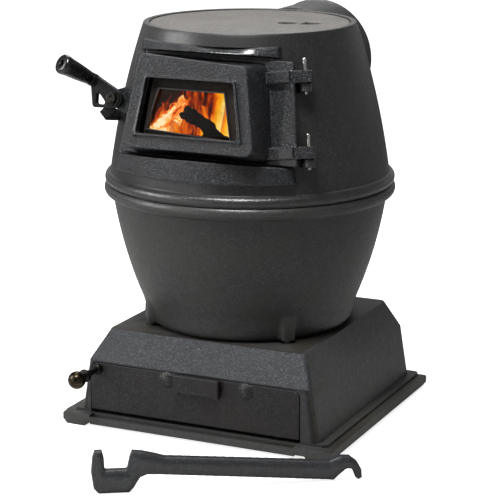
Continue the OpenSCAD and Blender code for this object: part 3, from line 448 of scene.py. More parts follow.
@dataclass(frozen=True)
class Charcoal(Finish):
    """Hardwood burning to charcoal.

    The eye sees black, checked char with heat that glows out of the cracks. Most real checks are 2
    to 5 mm wide and are drawn 9 to 13 mm wide, because they are seen through a small window.
    """

    name: str
    glow: float = 1.0
    check_mm: float = 9.0
    bend_mm: float = 16
    crumb_mm: float = 4
    check_deep_mm: float = 1.2
    heat_from: float = 0.35
    heat_to: float = 0.75
    white: str = "ffd9a0"

    def shade(self, tree: Tree, where: Socket) -> Socket:
        """Light the cracks by the piece's heat attribute.

        Args:
            tree: The material's tree.
            where: Object coordinates in metres.

        Returns:
            The shader socket.
        """
        bend = add_node(tree, "TexNoise", {}, {
            "Vector": where, "Scale": 1 / (self.bend_mm * MM), "Detail": 3.0})
        moved = add_node(tree, "Mix", {"data_type": "RGBA", "blend_type": "LINEAR_LIGHT"}, {
            MIX_SHARE: 0.012, MIX_UNDER: where, MIX_OVER: bend.outputs["Color"]})
        cracks = add_node(tree, "TexVoronoi", {"feature": "DISTANCE_TO_EDGE"}, {
            "Vector": moved.outputs[MIX_RESULT], "Scale": 1 / (self.check_mm * MM),
            "Randomness": 1.0})
        fine = add_node(tree, "TexNoise", {}, {
            "Vector": where, "Scale": 1 / (self.crumb_mm * MM), "Detail": 4.0,
            "Roughness": 0.7})
        heat = add_node(tree, "Attribute", {"attribute_name": "hotness"})
        near = add_node(tree, "MapRange", {}, {
            "Value": cracks.outputs["Distance"], "From Min": 0.0, "From Max": 0.28,
            "To Min": 1.0, "To Max": 0.0})
        grain = add_node(tree, "Math", {"operation": "MULTIPLY_ADD"},
                         {0: fine.outputs["Fac"], 1: 0.9, 2: near.outputs[0]})
        level = add_node(tree, "Math", {"operation": "MULTIPLY"},
                         {0: grain.outputs[0], 1: heat.outputs["Fac"]})
        glow = add_node(tree, "ValToRGB", {"stops": [
            (self.heat_from, "000000"), (self.heat_from + 0.08, "5a0c00"),
            ((self.heat_from + self.heat_to) / 2, "e04a06"),
            (self.heat_to, "ff9a2c"), (self.heat_to + 0.2, self.white)]},
            {"Fac": level.outputs[0]})
        ash = add_node(tree, "ValToRGB", {"stops": [(0.45, "0b0a09"), (0.75, "1d1a18")]},
                       {"Fac": fine.outputs["Fac"]})
        bump = add_node(tree, "Bump", {}, {"Strength": 1.0, "Distance": self.check_deep_mm * MM,
                                          "Height": cracks.outputs["Distance"]})
        shader = add_node(tree, "BsdfPrincipled", {}, {
            "Base Color": ash.outputs["Color"], "Roughness": 0.85, "Specular IOR Level": 0.2,
            "Emission Color": glow.outputs["Color"], "Emission Strength": self.glow,
            "Normal": bump.outputs[0]})
        return shader.outputs[0]


@dataclass(frozen=True)
class BurningWood(Finish):
    """Wood burnt through to a white heat.

    The eye sees light streaks along the grain, where gas burns, between orange and dark ones. The
    grain runs in the direction of along. Real grain is under 1 mm wide and is drawn 3 to 4 mm wide.
    """

    name: str
    glow: float
    along: tuple[float, float, float] = (43, 37, 62)
    streak_mm: float = 3.4
    streak_high_mm: float = 1.0
    stretch: float = 5.0

    def shade(self, tree: Tree, where: Socket) -> Socket:
        """Draw streaks of heat along the grain, hotter by the piece's attribute.

        Args:
            tree: The material's tree.
            where: Object coordinates in metres.

        Returns:
            The shader socket.
        """
        grain = Vector(self.along).to_track_quat("Z", "Y").to_euler()
        drawn = add_node(tree, "Mapping", {"vector_type": "TEXTURE"}, {
            "Vector": where, "Rotation": tuple(grain), "Scale": (1.0, 1.0, self.stretch)})
        streaks = add_node(tree, "TexNoise", {}, {
            "Vector": drawn.outputs[0], "Scale": 1 / (self.streak_mm * MM), "Detail": 3.0,
            "Roughness": 0.6, "Distortion": 1.0})
        blotches = add_node(tree, "TexNoise", {}, {
            "Vector": drawn.outputs[0], "Scale": 1 / (4 * self.streak_mm * MM), "Detail": 2.0})
        heat = add_node(tree, "Attribute", {"attribute_name": "hotness"})
        both = add_node(tree, "Math", {"operation": "ADD"},
                        {0: streaks.outputs["Fac"], 1: blotches.outputs["Fac"]})
        spread = add_node(tree, "Math", {"operation": "MULTIPLY_ADD"},
                          {0: both.outputs[0], 1: 1.5, 2: -1.5})
        level = add_node(tree, "Math", {"operation": "ADD"},
                         {0: spread.outputs[0], 1: heat.outputs["Fac"]})
        glow = add_node(tree, "ValToRGB", {"stops": [
            (0.12, "0a0200"), (0.3, "6a1200"), (0.44, "d84406"), (0.6, "ff8a20"),
            (0.76, "ffc266"), (0.95, "fff0cc")]}, {"Fac": level.outputs[0]})
        bump = add_node(tree, "Bump", {}, {"Strength": 1.0, "Distance": self.streak_high_mm * MM,
                                          "Height": streaks.outputs["Fac"]})
        shader = add_node(tree, "BsdfPrincipled", {}, {
            "Base Color": linear("0d0a08"), "Roughness": 0.85, "Specular IOR Level": 0.2,
            "Emission Color": glow.outputs["Color"], "Emission Strength": self.glow,
            "Normal": bump.outputs[0]})
        return shader.outputs[0]


@dataclass(frozen=True)
class Flame(Finish):
    """Wood flame.

    The eye sees a thin bright sheet, drawn upwards in tongues that fade out, yellow where it is
    hottest and red at its rims.
    """

    name: str
    strength: float = 1.0
    core: str = "ffd34a"
    body: str = "ff8a10"
    edge: str = "c83c04"
    tongue_mm: float = 11
    drawn_up: float = 0.22

    def shade(self, tree: Tree, where: Socket) -> Socket:
        """Fade a stretched noise in and out by the sheet's heat attribute.

        Args:
            tree: The material's tree.
            where: Object coordinates in metres.

        Returns:
            The shader socket.
        """
        drawn = add_node(tree, "Mapping", {}, {"Vector": where,
                                               "Scale": (1.0, 1.0, self.drawn_up)})
        tongues = add_node(tree, "TexNoise", {}, {
            "Vector": drawn.outputs[0], "Scale": 1 / (self.tongue_mm * MM), "Detail": 3.0,
            "Roughness": 0.55, "Distortion": 0.9})
        heat = add_node(tree, "Attribute", {"attribute_name": "hotness"})
        shifted = add_node(tree, "Math", {"operation": "ADD"},
                           {0: tongues.outputs["Fac"], 1: heat.outputs["Fac"]})
        level = add_node(tree, "Math", {"operation": "ADD"}, {0: shifted.outputs[0], 1: -0.5})
        colour = add_node(tree, "ValToRGB", {"stops": [
            (0.12, "3a0800"), (0.3, self.edge), (0.52, self.body), (0.74, self.core),
            (0.95, "ffe684")]}, {"Fac": level.outputs[0]})
        veil = add_node(tree, "MapRange", {"interpolation_type": "SMOOTHSTEP"}, {
            "Value": level.outputs[0], "From Min": 0.1, "From Max": 0.45, "To Max": 0.97})
        light = add_node(tree, "Emission", {}, {"Color": colour.outputs["Color"],
                                               "Strength": self.strength})
        clear = add_node(tree, "BsdfTransparent")
        mix = add_node(tree, "MixShader", {}, {0: veil.outputs[0], 1: clear.outputs[0],
                                              2: light.outputs[0]})
        return mix.outputs[0]


# Lower barrel and fittings: an even, warm black.
BODY_IRON = CastIron("Cast_iron_stove_black", deep="1f1f1e", face="2c2c2b", tint="302e2a",
                     pit_mm=0.1, grit_mm=1.8)
# Upper barrel: darker, and polished enough to mirror the lamps as soft spots.
UPPER_IRON = CastIron("Cast_iron_barrel_polished_black", deep="151413", face="1e1d1c",
                      tint="211e1b", pit_mm=0.14, grit_mm=1.8, gloss=0.5, rough=0.4)
# Lid: greyed by heat in streaks, and lighter still as a painted light of the overhead lamp on its
# top.
LID_GREY_AND_LIGHT_IRON = CastIron("Cast_iron_lid_greyed_and_painted_light", deep="2a2826", face="4a4744", worn="78736c",
                    grit_mm=1.2, rough=0.52, tint="5a5752", tint_share=0.7)
# Base: black that has gone a little olive with dust.
BASE_IRON = CastIron("Cast_iron_base_olive_black", deep="1b1915", face="292722",
                     tint="322f25", tint_share=0.6, pit_mm=0.16, grit_mm=2)
# Sloping band of the base: bluish, with deep pits that glitter.
BAND_IRON = CastIron("Cast_iron_base_band_blue_grey", deep="0f1113", face="1a1c1f",
                     worn="474a50", tint="202226", grit_mm=2.8, pit_mm=1.6, rough=0.36)
# Drawer front, draft slide and the base's forward faces: nearly black with a breath of rust brown,
# darker than the base as a painted shade of the upright front.
DRAWER_AND_FRONT_SHADE_IRON = CastIron("Cast_iron_drawer_brown_black_painted_shade", deep="121112", face="191718",
                       tint="221b19", tint_share=0.5, gloss=0.3)
# Door and its frame: fresh black over a coarse, wavy casting.
DOOR_IRON = CastIron("Cast_iron_door_stove_black", deep="0d0e10", face="18191b",
                     worn="44464b", pit_mm=1.5, grit_mm=2.8, rough=0.36, tint="1c1b19",
                     wave_mm=1.0, gloss=0.32)
# Latch arm: deep black, grey only along its edges, which are rubbed paint and a painted highlight.
ARM_IRON = CastIron("Cast_iron_latch_gloss_black", deep="060606", face="0a0a0b", worn="26272a",
                    tint="0a0a09", rough=0.42, gloss=0.12, wear=0.8)
# Rivet heads: rubbed smooth, with small lights on their lumps.
RIVET_IRON = CastIron("Cast_iron_rivet_rubbed", deep="0f0e0f", face="191718", worn="4a4947",
                      tint="1c1918", grit_mm=2.6, pit_mm=1.3, rough=0.2, wear=0.15)
# Lifter: the black handled down to dark grey.
LIFTER_IRON = CastIron("Cast_iron_lifter_grey_black", deep="1f1f20", face="2c2d2f",
                       worn="47494d", wear=0.7, grit_mm=2.6, pit_mm=0.5, tint="2b2a2a",
                       rough=0.36)
# Fire's side of the castings: matt with soot, brown where it has burnt off. It also serves
# as painted shade on the flat of the window's inner frame.
SOOT_AND_SHADE_IRON = CastIron("Cast_iron_sooted_and_painted_shade", deep="0b0a0a", face="151312", worn="26221f",
                     tint="2a1d14", tint_share=0.4, rough=0.75, gloss=0.15, wear=0.1)
# Hinge pins: bare and bright.
BRIGHT_STEEL = Steel("Turned_steel_bright", bright="d8d6d2", dull="8a8781", rough=0.24)
# Bolts, screws and small plates: mill grey.
BOLT_STEEL = Steel("Rolled_steel_bolts", bright="6e6c68", dull="34322f", rough=0.4)
# Spindle, collar and pivot: blackened, with a soft sheen.
BLACK_STEEL = Steel("Steel_oil_blackened", bright="33322f", dull="141312", rough=0.36)
# Ash pan: dull dark sheet.
PAN_STEEL = Steel("Sheet_steel_ash_pan", bright="4a4744", dull="242220", rough=0.45, mark_mm=2)
# Ball knob: brown bronze with a sharp light.
BRONZE = Steel("Turned_bronze_darkened", bright="4a4235", dull="1c1812", rough=0.24)
GRIP = Phenolic()
ROPE = GlassRope()
GLASS = HeatGlass()
# Heap: glows all over.
COAL = Charcoal("Charcoal_glowing_heap")
# Black logs: glow only where they are hottest.
LOG_CHAR = Charcoal("Charred_log", check_mm=13, heat_from=0.5, heat_to=0.95)
# Embers: nearly white.
EMBER = BurningWood("Ember_white_hot", stretch=2.0, streak_mm=4.2, glow=1.35)
# Leaning log: long orange and white streaks.
BURNING = BurningWood("Burning_log_streaked", glow=1.3)
# Small flames: orange.
FLAME = Flame("Wood_flame")
# Tall flames: yellow, in broad tongues.
FLAME_TALL = Flame("Wood_flame_yellow", strength=1.15, core="ffc41c", body="ff8c08",
                   tongue_mm=19)


# ---------------------------------------------------------------- meshes
WELD = 0.002  # Points nearer than this many mm are one.
FLAT_FOLD = 0.5  # Faces that fold less than this many degrees are one flat.
EDGE_FOLD = 33  # Edges of a casting that fold more than this many degrees are rounded.
SOOT_DEPTH = 3.0  # The fire's side starts this many mm inside a barrel's outer wall.


class Slot(Enum):
    """Material slots of the record."""

    IRON = "iron"
    LID = "lid_iron"
    SHEET = "sheet"
    BAR = "bar"
    STEEL = "steel"
    BRONZE = "bronze"
    GRIP = "grip"
    ROPE = "rope"
    GLASS = "glass"


def soot_inside(piece: Object, wall: "Bulge", low: float, high: float) -> None:
    """Dress the fire's side of a barrel in soot.

    Args:
        piece: The barrel.
        wall: Its outer wall.
        low: Lowest height in mm that has a fire side.
        high: Highest height in mm.
    """
    piece.data.materials.append(SOOT_AND_SHADE_IRON.material())
    for face in piece.data.polygons:
        z = face.center.z / MM
        r = math.hypot(face.center.x, face.center.y) / MM
        if low < z < high and r < wall.radius_at(z) - SOOT_DEPTH:
            face.material_index = 1


def clamp(value: float, top: float = 1.0) -> float:
    """Keep a value between nothing and a top."""
    return max(0.0, min(top, value))


def new_object(name: str, data: bpy.types.ID) -> Object:
    """Make an object of a mesh, a lamp or a camera and put it in the scene.

    Args:
        name: Its name.
        data: What it shows.

    Returns:
        The object.
    """
    made = bpy.data.objects.new(name, data)
    bpy.context.scene.collection.objects.link(made)
    return made


def rub(bm: BMesh, rule: Callable[[Vector], float]) -> None:
    """Store how far each point is rubbed smooth and lumpy by use, for the shader.

    Args:
        bm: The mesh.
        rule: Gives the share for a point in mm; it is kept between 0 and 1.
    """
    layer = bm.verts.layers.float.new("rubbed")
    for v in bm.verts:
        v[layer] = clamp(rule(v.co / MM))


def finish_piece(name: str, bm: BMesh, finish: Finish, body: str,
                 nodes: Iterable[str] = (), sharp: float = 50,
                 flat: bool = False) -> Object:
    """Make a mesh object of a bmesh, dress it and tie it to its body.

    Args:
        name: Name of the piece.
        bm: Its mesh, in place and in metres; it is freed.
        finish: What it is made of.
        body: The CAD body that it moves with.
        nodes: CAD nodes that it stands for.
        sharp: Angle in degrees above which an edge stays sharp.
        flat: Whether large faces keep their flat look beside rounded edges.

    Returns:
        The new object.
    """
    mesh = bpy.data.meshes.new(name)
    bm.to_mesh(mesh)
    bm.free()
    mesh.shade_smooth()
    mesh.set_sharp_from_angle(angle=math.radians(sharp))
    piece = new_object(name, mesh)
    mesh.materials.append(finish.material())
    if flat:
        piece.modifiers.new("flat_faces", "WEIGHTED_NORMAL").keep_sharp = True
    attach(piece, body)
    if nodes:
        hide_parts(*nodes)
    LOG.info("%-22s %7d faces on %s", name, len(mesh.polygons), body)
    return piece


def node_copy(node: str) -> BMesh:
    """Copy a CAD node's mesh and weld its loose triangles.

    Args:
        node: CAD node.

    Returns:
        The welded mesh.
    """
    bm = bmesh.new()
    bm.from_mesh(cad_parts[node].data)
    bmesh.ops.remove_doubles(bm, verts=bm.verts, dist=WELD * MM)
    return bm


def flat_copy(node: str) -> BMesh:
    """Copy a CAD node and join the triangles of each flat face.

    Args:
        node: CAD node.

    Returns:
        The mesh with whole flats.
    """
    bm = node_copy(node)
    bmesh.ops.dissolve_limit(bm, angle_limit=math.radians(FLAT_FOLD), verts=bm.verts,
                             edges=bm.edges)
    return bm


def run_modifiers(bm: BMesh, setups: Sequence[tuple[str, dict[str, Any]]]) -> BMesh:
    """Apply modifiers to a bmesh.

    Args:
        bm: The mesh; it is freed.
        setups: Modifier type and its settings, in order.

    Returns:
        A new bmesh with the result.
    """
    mesh = bpy.data.meshes.new("work")
    bm.to_mesh(mesh)
    bm.free()
    work = new_object("work", mesh)
    for kind, settings in setups:
        modifier = work.modifiers.new(kind, kind)
        for key, value in settings.items():
            setattr(modifier, key, value)
    made = bpy.data.meshes.new_from_object(
        work.evaluated_get(bpy.context.evaluated_depsgraph_get()))
    result = bmesh.new()
    result.from_mesh(made)
    bpy.data.objects.remove(work)
    bpy.data.meshes.remove(mesh)
    bpy.data.meshes.remove(made)
    return result


def voxels(size: float) -> tuple[str, dict[str, Any]]:
    """Give the setup of a remesh with a grid of that many mm."""
    return ("REMESH", {"mode": "VOXEL", "voxel_size": size * MM, "adaptivity": 0.0})


def smoothing(rounds: int) -> tuple[str, dict[str, Any]]:
    """Give the setup of that many smoothing passes."""
    return ("SMOOTH", {"factor": 0.5, "iterations": rounds})


def sand_cast(node: str, voxel: float, rounds: int, keep: float = 1.0) -> BMesh:
    """Copy a CAD node with the soft edges that a sand mould gives.

    Args:
        node: CAD node.
        voxel: Grid of the remesh in mm.
        rounds: Smoothing passes.
        keep: Share of the triangles that is kept.

    Returns:
        The softened mesh.
    """
    steps = [voxels(voxel), smoothing(rounds)]
    if keep < 1:
        steps.append(("DECIMATE", {"ratio": keep}))
    return run_modifiers(node_copy(node), steps)


def folds(bm: BMesh, angle: float) -> list[bmesh.types.BMEdge]:
    """List the edges whose two faces fold more than that many degrees."""
    limit = math.radians(angle)
    return [e for e in bm.edges if len(e.link_faces) == 2 and e.calc_face_angle(0) > limit]


def bevel(bm: BMesh, edges: Sequence[bmesh.types.BMEdge], radius: float, segments: int) -> None:
    """Round the given edges by a radius in the mesh's own units."""
    bmesh.ops.bevel(bm, geom=edges, offset=radius, offset_type="OFFSET", segments=segments,
                    profile=0.5, affect="EDGES", material=-1, clamp_overlap=True)


def round_edges(bm: BMesh, radius: float, segments: int = 3, angle: float = 24) -> None:
    """Round every edge that folds more than that many degrees, by a radius in mm."""
    bevel(bm, folds(bm, angle), radius * MM, segments)


def machined(node: str, radius: float) -> BMesh:
    """Copy a CAD node and break its edges.

    Args:
        node: CAD node.
        radius: Radius in mm.

    Returns:
        The mesh with broken edges.
    """
    bm = flat_copy(node)
    round_edges(bm, radius, 2, 30)
    return bm


def rounded_copy(node: str, place: Matrix, rounds: Sequence[tuple[float, Callable[[Vector], bool]]],
                 move: Callable[[Vector], Vector] | None = None) -> BMesh:
    """Copy a CAD node, reshape it a little and round its edges by different radii.

    Args:
        node: CAD node.
        place: Frame in which the tests and moves are given, in mm.
        rounds: Radius in mm, and a test of an edge's middle; the first that fits counts.
        move: Gives how far a point moves, in mm.

    Returns:
        The rounded mesh.
    """
    bm = flat_copy(node)
    bmesh.ops.transform(bm, matrix=Matrix.Scale(1 / MM, 4) @ place.inverted(), verts=bm.verts)
    if move:
        shifts = [move(v.co) for v in bm.verts]
        for v, step in zip(bm.verts, shifts):
            v.co += step
    for radius, test in rounds:
        edges = [e for e in folds(bm, EDGE_FOLD)
                 if test((e.verts[0].co + e.verts[1].co) / 2)]
        bevel(bm, edges, radius, 4)
    bmesh.ops.transform(bm, matrix=place @ Matrix.Scale(MM, 4), verts=bm.verts)
    return bm


def lathe(profile: Profile, place: Matrix | None = None, steps: int = 64,
          closed: bool = False, radius: float = 0, segments: int = 3,
          angle: float = 24) -> BMesh:
    """Turn a half section round an axis.

    Args:
        profile: Radius and height in mm of each corner.
        place: Where the axis goes; its Z is the axis.
        steps: Facets round the axis.
        closed: Whether the section's last corner joins the first.
        radius: Rounding of the corners in mm.
        segments: Faces across each rounding.
        angle: Corners that fold more than this many degrees are rounded.

    Returns:
        The turned mesh.
    """
    bm = bmesh.new()
    points = [bm.verts.new((r * MM, 0, z * MM)) for r, z in profile]
    pairs = list(zip(points, points[1:])) + ([(points[-1], points[0])] if closed else [])
    edges = [bm.edges.new(pair) for pair in pairs]
    bmesh.ops.spin(bm, geom=points + edges, cent=(0, 0, 0), axis=(0, 0, 1),
                   angle=2 * math.pi, steps=steps, use_merge=True, use_duplicate=False)
    bmesh.ops.remove_doubles(bm, verts=bm.verts, dist=WELD * MM)
    bmesh.ops.dissolve_degenerate(bm, edges=bm.edges, dist=WELD / 2 * MM)
    bmesh.ops.recalc_face_normals(bm, faces=bm.faces)
    if radius:
        round_edges(bm, radius, segments, angle)
    if place:
        bmesh.ops.transform(bm, matrix=place, verts=bm.verts)
    return bm


def joined(parts: Iterable[BMesh]) -> BMesh:
    """Put several meshes into one, with their heat.

    Args:
        parts: The meshes; they are freed.

    Returns:
        The whole mesh.
    """
    whole = bmesh.new()
    whole.verts.layers.float.new("hotness")
    for part in parts:
        mesh = bpy.data.meshes.new("part")
        part.to_mesh(mesh)
        part.free()
        whole.from_mesh(mesh)
        bpy.data.meshes.remove(mesh)
    return whole


def cut_away(bm: BMesh, cutter: BMesh) -> BMesh:
    """Cut one closed mesh out of another.

    Args:
        bm: The mesh that is cut; it is freed.
        cutter: The mesh that cuts; it is freed.

    Returns:
        What is left.
    """
    mesh = bpy.data.meshes.new("cutter")
    cutter.to_mesh(mesh)
    cutter.free()
    tool = new_object("cutter", mesh)
    result = run_modifiers(bm, [("BOOLEAN", {"operation": "DIFFERENCE", "object": tool,
                                            "solver": "EXACT"})])
    bpy.data.objects.remove(tool)
    bpy.data.meshes.remove(mesh)
    return result


def block(low: Sequence[float], high: Sequence[float], place: Matrix) -> BMesh:
    """Make a block between two corners.

    Args:
        low: Its lowest corner in mm.
        high: Its highest corner in mm.
        place: Frame of the corners.

    Returns:
        The block.
    """
    bm = bmesh.new()
    size = [b - a for a, b in zip(low, high)]
    middle = [(a + b) / 2 for a, b in zip(low, high)]
    bmesh.ops.create_cube(bm, size=1, matrix=Matrix.Translation(Vector(middle) * MM)
                          @ Matrix.Diagonal((*(s * MM for s in size), 1)))
    bmesh.ops.transform(bm, matrix=place, verts=bm.verts)
    return bm


def outline_solid(points: Profile, thick: float, place: Matrix) -> BMesh:
    """Extrude a flat outline.

    Args:
        points: Corners in mm, anticlockwise.
        thick: Thickness in mm along the place's Z.
        place: Where the outline's plane goes.

    Returns:
        The solid.
    """
    bm = bmesh.new()
    face = bm.faces.new([bm.verts.new((x * MM, y * MM, 0)) for x, y in points])
    top = bmesh.ops.extrude_face_region(bm, geom=[face])
    bmesh.ops.translate(bm, vec=(0, 0, thick * MM),
                        verts=[v for v in top["geom"] if isinstance(v, bmesh.types.BMVert)])
    bmesh.ops.recalc_face_normals(bm, faces=bm.faces)
    bmesh.ops.transform(bm, matrix=place, verts=bm.verts)
    return bm


def hex_bolt(place: Matrix, head_r: float, head_h: float, shank_r: float,
             shank_l: float) -> BMesh:
    """Make a hexagon-headed bolt.

    Args:
        place: Where it goes; the head stands on its Z and the shank hangs below.
        head_r: Radius of the head over its corners in mm.
        head_h: Height of the head in mm.
        shank_r: Radius of the shank in mm.
        shank_l: Length of the shank in mm.

    Returns:
        The bolt.
    """
    head = bmesh.new()
    bmesh.ops.create_cone(head, cap_ends=True, segments=6, radius1=head_r * MM,
                          radius2=head_r * MM, depth=head_h * MM,
                          matrix=Matrix.Translation((0, 0, head_h * MM / 2)))
    round_edges(head, 0.6, 2)
    shank = lathe([(0, 0.2), (shank_r, 0.2), (shank_r, -shank_l + 1),
                   (shank_r - 0.8, -shank_l), (0, -shank_l)], steps=32)
    bolt = joined([head, shank])
    bmesh.ops.transform(bolt, matrix=place, verts=bolt.verts)
    return bolt


def arc(centre: tuple[float, float], radius: float, start: float, end: float,
        steps: int) -> list[tuple[float, float]]:
    """List points on an arc, angles in degrees."""
    angles = [math.radians(start + (end - start) * i / steps) for i in range(steps + 1)]
    return [(centre[0] + radius * math.cos(a), centre[1] + radius * math.sin(a)) for a in angles]


def shift(x: float = 0, y: float = 0, z: float = 0) -> Matrix:
    """Give a translation by mm."""
    return Matrix.Translation(Vector((x, y, z)) * MM)


def turn(degrees: float, axis: str) -> Matrix:
    """Give a rotation about a named axis."""
    return Matrix.Rotation(math.radians(degrees), 4, axis)


def closest(point: Vector, start: Vector, end: Vector) -> Vector:
    """Find the point of a line segment that is nearest to a point.

    Args:
        point: The point.
        start: One end of the segment.
        end: Its other end.

    Returns:
        The nearest point.
    """
    along = end - start
    return start + along * clamp((point - start).dot(along) / along.length_squared)


def warp(bm: BMesh, amount: float, size: float, seed: float) -> None:
    """Push a mesh's points in and out by a smooth noise.

    Args:
        bm: The mesh.
        amount: Largest push in mm.
        size: Size of the bumps in mm.
        seed: Shifts the noise.
    """
    bm.normal_update()
    for v in bm.verts:
        v.co += v.normal * (noise.noise(v.co / (size * MM) + Vector((seed,) * 3)) * amount * MM)


def cast_piece(name: str, node: str, finish: Finish, body: str, voxel: float,
               rounds: int, keep: float = 1.0) -> None:
    """Make a piece of a CAD node with the soft edges of a casting or a cord.

    Args:
        name: Name of the piece.
        node: CAD node that it copies and stands for.
        finish: What it is made of.
        body: The CAD body that it moves with.
        voxel: Grid of the remesh in mm.
        rounds: Smoothing passes.
        keep: Share of the triangles that is kept.
    """
    finish_piece(name, sand_cast(node, voxel, rounds, keep), finish, body, [node])


def machined_piece(name: str, node: str, finish: Finish, body: str,
                   radius: float) -> None:
    """Make a piece of a CAD node with broken edges.

    Args:
        name: Name of the piece.
        node: CAD node that it copies and stands for.
        finish: What it is made of.
        body: The CAD body that it moves with.
        radius: Radius of its edges in mm.
    """
    finish_piece(name, machined(node, radius), finish, body, [node], sharp=30)


@dataclass(frozen=True)
class Bulge:
    """Bulging wall between two rings of the barrel, a circular arc in section."""

    low: tuple[float, float]
    high: tuple[float, float]
    rise: float

    def radius_at(self, z: float, grow: float = 0) -> float:
        """Find the wall's radius at a height.

        Args:
            z: Height in mm.
            grow: How far outside the wall, in mm.

        Returns:
            The radius in mm.
        """
        p, q = Vector(self.low), Vector(self.high)
        span = (q - p).length
        curve = span ** 2 / (8 * self.rise) + self.rise / 2
        normal = Vector(((q - p).y, -(q - p).x)) / span
        centre = (p + q) / 2 - normal * (curve - self.rise)
        return centre.x + math.sqrt((curve + grow) ** 2 - (z - centre.y) ** 2)

    def points(self, z0: float, z1: float, steps: int, grow: float = 0) -> list[tuple[float, float]]:
        """List points on the wall from z0 to z1."""
        levels = [z0 + (z1 - z0) * i / steps for i in range(steps + 1)]
        return [(self.radius_at(z, grow), z) for z in levels]


POT_WALL = Bulge((157, 175), (197, 320), 4.7)
UPPER_WALL = Bulge((201, 360), (151.2, 572), 5)
WALL = 7.0
JOINT_Z = 343.0
BEAD_WEAR = 0.28


# ---------------------------------------------------------------- places
def door_plane(w: float = 0) -> Matrix:
    """Give the place of the feed door: X sideways, Y up the slope, Z out of the stove."""
    return shift(0, DOOR_Y, DOOR_Z) @ turn(DOOR_LEAN, "X") @ shift(z=w)


def hinge_axis(s: float) -> Matrix:
    """Give a place on the feed door's hinge axis, Z up the axis."""
    return (door_plane(HINGE_W) @ shift(HINGE_X) @ turn(HINGE_LEAN, "Z") @ shift(y=s)
            @ turn(-90, "X"))


def latch_axis(w: float) -> Matrix:
    """Give a place on the latch's pivot, Z out of the stove."""
    return door_plane() @ shift(PIVOT_X, PIVOT_V, w)


def grip_axis(reach: float) -> Matrix:
    """Give a place on the grip's axis, Z out along the grip."""
    return (latch_axis(GRIP_W) @ shift(GRIP_X, GRIP_V) @ turn(GRIP_TURN, "Z")
            @ turn(GRIP_TILT, "Y") @ shift(z=reach))


def on_front(x: float, y: float, z: float) -> Matrix:
    """Give a place on the drawer front, Z out of the stove."""
    return shift(x, y, z) @ turn(90, "X")


# ---------------------------------------------------------------- sub-assemblies
@dataclass
class Base:
    """Bottom plate and box-shaped ash base."""

    lip_y: float = -186
    lip_z: float = 12
    lip_round: float = 2.2
    plate_round: float = 1.2
    shell_round: float = 1.5
    screw_x: float = 184
    screw_y: float = 164
    screw_z: float = 3
    screw_l: float = 18.7
    shank_r: float = 3
    head_r: float = 6
    bend_z: float = 96
    front_y: float = -150

    def plate(self) -> None:
        """Cast the bottom plate and turn its screws."""
        plate = rounded_copy("base_plate", shift(), [
            (self.lip_round, lambda p: p.y < self.lip_y and p.z > self.lip_z),
            (self.plate_round, lambda p: True)])
        rub(plate, lambda p: 0.35 if p.y < self.lip_y + 2 and p.z > self.lip_z - 2 else 0)
        finish_piece("bottom_plate", plate, BASE_IRON, "stove", ["base_plate"],
                     sharp=35, flat=True)
        profile = [(0, 0), (self.head_r, 0), (self.head_r, 0.8), (self.shank_r, 3),
                   (self.shank_r, self.screw_l), (0, self.screw_l)]
        screws = [lathe(profile, shift(sx * self.screw_x, sy * self.screw_y, self.screw_z), 32)
                  for sx in (-1, 1) for sy in (-1, 1)]
        finish_piece("base_plate_screws", joined(screws), BOLT_STEEL, "stove",
                     ["base_screws"], sharp=30)

    def shell(self) -> None:
        """Cast the ash base's shell, its sloping band rougher and its front faces darkened like the
        drawer, as painted shade.
        """
        bm = rounded_copy("base_shell", shift(), [(self.shell_round, lambda p: True)])
        shell = finish_piece("ash_base_shell", bm, BASE_IRON, "stove",
                             ["base_shell"], sharp=30, flat=True)
        shell.data.materials.append(BAND_IRON.material())
        shell.data.materials.append(DRAWER_AND_FRONT_SHADE_IRON.material())
        for face in shell.data.polygons:
            ahead, up = -face.normal.y, face.normal.z
            if ahead > 0.4 and up > 0.4 and face.center.z > self.bend_z * MM:
                face.material_index = 1
            # Faces that look straight ahead get the drawer's darker iron: painted shade of the
            # upright front.
            elif ahead > 0.9 and face.center.y < self.front_y * MM:
                face.material_index = 2

    def build(self) -> None:
        """Make every piece."""
        self.plate()
        self.shell()


